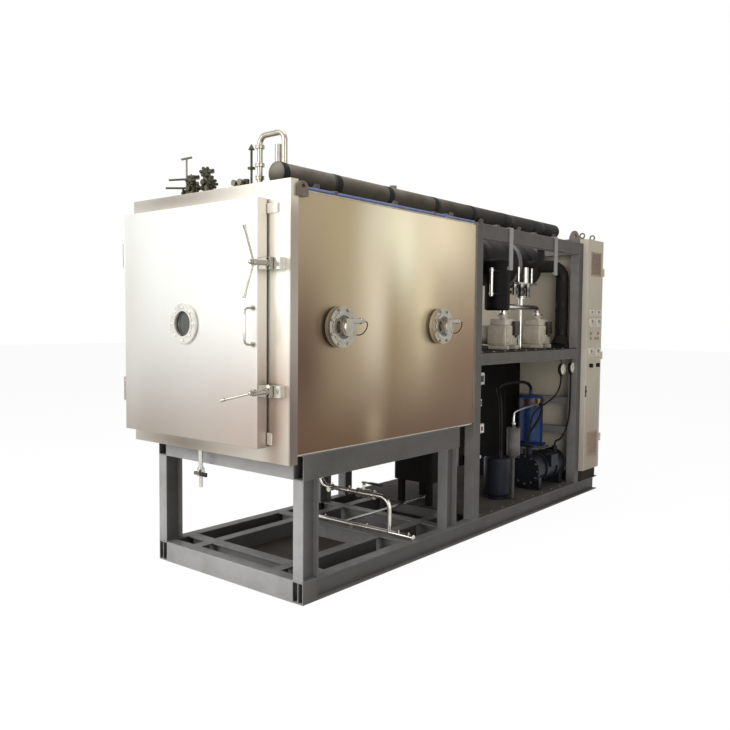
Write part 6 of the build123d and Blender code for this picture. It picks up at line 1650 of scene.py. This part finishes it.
@dataclass
class DrainPipework(Assembly):
    """Sanitary pipework below the chamber with its clamps, valves and levers.

    Attributes:
        axis_y: Axis of the pipes, along the machine.
        high_z: Axis of the upper pipe.
        low_z: Axis of the lower pipe.
    """

    title: str = "drain pipework"
    axis_y: float = -880.0
    high_z: float = 360.0
    low_z: float = 138.0

    def build(self) -> None:
        """Pipes, clamps with wing nuts, and levers with grips."""
        self.dressed(("drain_pipework", BRIGHT, "polished_stainless", 0.0, 40.0))
        self.dressed(("drain_lever", DARK_STEEL, "polished_stainless", 0.8), body="chamber_drain_lever")
        self.dressed(("front_drain_lever", DARK_STEEL, "polished_stainless", 0.8),
                     body="door_end_drain_lever")
        grips = Shape().block((235, 341), (self.axis_y - 13, self.axis_y + 13), (425.5, 438.5), 3)
        self.keep(grips.piece("drain_lever_grip", KNOB, "knob_black", body="chamber_drain_lever"))
        front = Shape().block((-85, -23), (-2003.6, -1993.4), (605, 629), 2.5)
        self.keep(front.piece("front_lever_grip", KNOB, "knob_black", body="door_end_drain_lever"))
        clamps, wings = Shape(), []
        for x in (-90.0, 60.0):
            clamps.ring((x, self.axis_y, self.high_z), RIGHT, 22.0, 14.7, 12.0, 3.0, 40)
            wings.append(((x + 6, self.axis_y, self.high_z + 21), UP))
        for x in (-150.0, 215.0, 470.0, 548.0):
            clamps.ring((x, self.axis_y, self.low_z), RIGHT, 17.3, 14.7, 12.0, 1.0, 40)
            wings.append(((x + 6, self.axis_y, self.low_z + 16.5), UP))
        self.keep(clamps.piece("pipe_clamps", BRIGHT, "polished_stainless"),
                  DOMES.made("clamp_nuts", wings, BRIGHT, "polished_stainless", Across=9, Height=12))


@dataclass
class Cabinet(Assembly):
    """Control cabinet with its door, louvres, instruments and selectors.

    Attributes:
        face_x: Front of the control door.
        rows: Height, height of case and depth of each row of meters.
        columns: Low and high side of each meter column.
        lamps: Along and up for each lamp.
        louvres: Middle height of each louvre panel.
    """

    title: str = "control cabinet"
    face_x: float = 650.0
    rows: tuple[Vec3, ...] = ((1570.0, 42.0, 12.0), (1488.0, 66.0, 16.0), (1232.0, 66.0, 14.0))
    columns: tuple[Span, ...] = ((1572.0, 1646.0), (1712.0, 1800.0))
    lamps: tuple[Span, ...] = ((1600, 1392), (1755, 1392), (1600, 1350), (1700, 1350), (1755, 1350))
    louvres: tuple[float, ...] = (440.0, 1985.0)

    def build(self) -> None:
        """Cabinet body, door, louvre slats, meters, lamps, selectors and lock."""
        self.dressed(
            ("cabinet_shell", CABINET_PAINT, "cabinet_paint", 2.0),
            ("cabinet_plinth", PLINTH_PAINT, "plinth_paint", 1.5))
        self.dressed(("cabinet_door", CABINET_PAINT, "cabinet_paint", 2.0), body="control_door")
        for side in ("left", "right"):
            self.dressed((f"selector_{side}", KNOB, "knob_black", 1.0, 40.0), body=f"{side}_selector")
        frames, rows = Shape(), []
        for z in self.louvres:
            for y, (low, high) in (((1575, 1789), (-102.5, -89)), ((1575, 1789), (89, 102.5)),
                                   ((1575, 1592), (-89, 89)), ((1772, 1789), (-89, 89))):
                frames.block((self.face_x, self.face_x + 4), y, (z + low, z + high), 1)
            rows.append(((self.face_x - 1, 1682, z - 84), (0, 0, 14), (13, 182, 1.8), (0, 62, 0), 13))
        self.keep(frames.piece("louvre_frames", LOUVRE_PAINT, "louvre_paint", ("louvre_panels",),
                               body="control_door"),
                  BARS.made("louvre_slats", rows, LOUVRE_PAINT, "louvre_paint", body="control_door"))
        self.build_instruments()
        lock = Shape().turned(((13, 0), (14, 1), (14, 5), (12, 7), (0, 7)), (self.face_x, 1528, 900), RIGHT)
        lock.block((self.face_x + 6, self.face_x + 9), (1525, 1531), (888, 912), 1)
        lock.block((self.face_x, self.face_x + 3), (1516, 1540), (852, 948), 1.2)
        screws = [((self.face_x + 4, y, z + dz), RIGHT) for z in self.louvres
                  for y in (1583, 1781) for dz in (-95, 0, 95)]
        self.keep(lock.piece("cabinet_lock", KNOB, "knob_black", body="control_door"),
                  SCREWS.made("louvre_screws", screws, POLISHED, "louvre_paint", body="control_door",
                              Width=7, Height=2.4))

    def build_instruments(self) -> None:
        """Meters with bezel and window, and lamps with their rings."""
        cases, windows, rings = Shape(), Shape(), Shape()
        lenses = {"red": Shape(), "green": Shape()}
        x = self.face_x
        for z, high, deep in self.rows:
            for low_y, high_y in self.columns:
                cases.block((x, x + deep), (low_y, high_y), (z - high / 2, z + high / 2), 2.5)
                cases.block((x, x + deep - 4), (low_y - 3, high_y + 3), (z - high / 2 - 3, z + high / 2 + 3),
                            1.5)
                windows.block((x + deep - 1, x + deep + 0.8), (low_y + 8, high_y - 8),
                              (z - high * 0.1, z + high * 0.38), 0.8)
                for k in range(3):
                    middle = low_y + 16 + k * (high_y - low_y - 32) / 2
                    windows.block((x + deep - 1, x + deep + 1.6), (middle - 4, middle + 4),
                                  (z - high * 0.38, z - high * 0.22), 0.8)
        for index, (y, z) in enumerate(self.lamps):
            rings.ring((x, y, z), RIGHT, 14.5, 9.5, 5.0, 1.2, 32)
            lens = lenses["red" if index % 2 else "green"]
            lens.turned(((10.5, 0), (10.5, 8), (8.5, 12), (4.5, 13.8), (0, 14)), (x, y, z), RIGHT, 28)
        self.keep(cases.piece("meter_cases", METER, "instrument_white", ("panel_instruments",),
                              body="control_door"),
                  windows.piece("meter_windows", DISPLAY, "instrument_white", body="control_door"),
                  rings.piece("lamp_rings", POLISHED, "instrument_white", body="control_door"),
                  lenses["red"].piece("red_lamps", LAMP_RED, "instrument_white", body="control_door"),
                  lenses["green"].piece("green_lamps", LAMP_GREEN, "instrument_white", body="control_door"))


HOSES = (
    Hose("front_gauge_hose", ((585, 1180, 1038.7), (585, 1180, 950), (540, 1120, 850), (430, 1010, 760),
                              (430, 940, 620), (430, 940, 470.3)), 13.0, 0.68),
    Hose("rear_gauge_hose", ((585, 1366, 1045.7), (585, 1366, 900), (584, 1360, 660), (530, 1338, 500),
                             (470, 1330, 480), (470, 1330, 440.3)), 15.0, 0.64),
    Hose("suction_line", ((280, 1250, 908.3), (280, 1250, 990), (280, 640, 990), (450, 450, 900),
                          (450, 450, 500.3)), 26.0, 1.24),
    Hose("discharge_line", ((417, 1158.7, 800), (447, 1138.7, 800), (450, 1090, 690), (350, 1052, 540),
                            (350, 1052, 410.3)), 20.0, 0.45))


# ---------------------------------------------------------------- studio
def showing(sheet: Sheet) -> Sock:
    """Tell rays that show the surroundings from those that only light.

    Args:
        sheet: Sheet that the nodes are added to.

    Returns:
        1 for rays that show the surroundings, 0 for those that only light the machine.
    """
    path = sheet.tree.nodes.new("ShaderNodeLightPath")
    first, second, third = (Sock(sheet, path.outputs[f"Is {kind} Ray"])
                            for kind in ("Camera", "Glossy", "Transmission"))
    return (first + second + third).clamped()


@dataclass
class Studio:
    """Plain pale floor, soft lamps, a white surround and the camera.

    Attributes:
        camera_place: Where the camera stands, in metres.
        heading: Its heading about the vertical, in degrees.
        pitch: Its slope, in degrees.
        roll: Its roll, in degrees.
        lens: Focal length on a 36 mm sensor.
    """

    camera_place: Vec3 = (3.332, -4.711, 1.476)
    heading: float = 39.36
    pitch: float = -3.22
    roll: float = 0.50
    lens: float = 37.86

    def build(self) -> None:
        """Set up everything around the machine."""
        self.build_camera()
        self.build_floor()
        self.build_world()
        self.lamp("front_panel", (-1.6, -7.0, 3.4), (0.0, -1.0, 1.3), 5.0, 270.0)
        self.lamp("side_panel", (6.4, -3.2, 2.3), (0.4, 0.4, 1.1), 4.4, 150.0)
        self.lamp("roof_panel", (0.0, -0.5, 7.0), (0.0, 0.0, 1.0), 6.0, 210.0)
        bpy.context.scene.view_settings.view_transform = "Standard"

    def build_camera(self) -> None:
        """Camera with its heading, slope and roll."""
        data = bpy.data.cameras.new("camera")
        data.lens, data.sensor_width = self.lens, 36.0
        camera = linked("camera", data)
        az, p, ro = (math.radians(v) for v in (self.heading, self.pitch, self.roll))
        forward = Vector((-math.sin(az) * math.cos(p), math.cos(az) * math.cos(p), math.sin(p)))
        right = Vector((math.cos(az), math.sin(az), 0.0))
        up = right.cross(forward)
        side, top = right * math.cos(ro) + up * math.sin(ro), up * math.cos(ro) - right * math.sin(ro)
        turn = Matrix((side, top, -forward)).transposed()
        camera.matrix_world = Matrix.Translation(Vector(self.camera_place)) @ turn.to_4x4()
        bpy.context.scene.camera = camera

    def build_floor(self) -> None:
        """A wide floor that shows white, with the machine's soft shadow kept on it."""
        mesh = bmesh.new()
        bmesh.ops.create_grid(mesh, x_segments=1, y_segments=1, size=40.0)
        data = bpy.data.meshes.new("floor")
        mesh.to_mesh(data)
        mesh.free()
        floor = linked("floor", data)
        material = bpy.data.materials.new("pale_floor")
        sheet = blank(material)
        seen = showing(sheet)
        matt = sheet.node("ShaderNodeBsdfDiffuse", {}, {"Color": (0.80, 0.80, 0.80, 1.0)})
        white = sheet.node("ShaderNodeEmission", {}, {"Color": (1.0, 1.0, 1.0, 1.0), "Strength": 1.08})
        mixed = sheet.node("ShaderNodeMixShader", {}, {0: seen * 0.88, 1: matt, 2: white})
        sheet.node("ShaderNodeOutputMaterial", {}, {0: mixed})
        data.materials.append(material)

    def build_world(self) -> None:
        """Surround that lights softly and looks white."""
        world = bpy.data.worlds.new("surround")
        bpy.context.scene.world = world
        sheet = blank(world)
        seen = showing(sheet)
        background = sheet.node("ShaderNodeBackground", {}, {"Color": (1.0, 1.0, 1.0, 1.0),
                                                             "Strength": seen * 0.88 + 0.12})
        sheet.node("ShaderNodeOutputWorld", {}, {0: background})

    def lamp(self, name: str, place: Vec3, target: Vec3, size: float, power: float) -> None:
        """Add a square soft lamp.

        Args:
            name: Its name.
            place: Where it hangs, in metres.
            target: What it points at, in metres.
            size: Its side, in metres.
            power: Its power, in watts.
        """
        data = bpy.data.lights.new(name, "AREA")
        data.shape, data.size, data.energy = "SQUARE", size, power
        lamp = linked(name, data)
        lamp.location = place
        lamp.rotation_euler = (Vector(target) - Vector(place)).to_track_quat("-Z", "Y").to_euler()


BOLTS = stack_tree("Hexagon bolts", {"Across": 0.013, "Height": 0.008, "Washer": 0.010}, (
    (18, "Washer", 1.0, 1.0, 0.2, 0.0), (6, "Across", 0.577, 0.577, 0.72, 0.2),
    (6, "Across", 0.577, 0.45, 0.1, 0.92)))
DOMES = stack_tree("Domed nuts", {"Across": 0.016, "Height": 0.014}, (
    (6, "Across", 0.577, 0.577, 0.5, 0.0), (16, "Across", 0.46, 0.36, 0.25, 0.5),
    (16, "Across", 0.36, 0.14, 0.2, 0.75)))
SCREWS = stack_tree("Pan screws", {"Width": 0.008, "Height": 0.003}, (
    (14, "Width", 0.5, 0.5, 0.5, 0.0), (14, "Width", 0.5, 0.3, 0.5, 0.5)))
BANDS = band_tree()
BARS = Bars()


def main() -> None:
    """Build the studio and every part of the machine."""
    logging.basicConfig(level=logging.INFO, format="%(name)s %(message)s")
    Studio().build()
    for part in (SkidFrame(), Chamber(), Door(), SidePorts(), RoofPipes(), UpperBay(), LowerBay(),
                 DrainPipework(), Cabinet()):
        part.run()


if __name__ == "__main__":
    main()
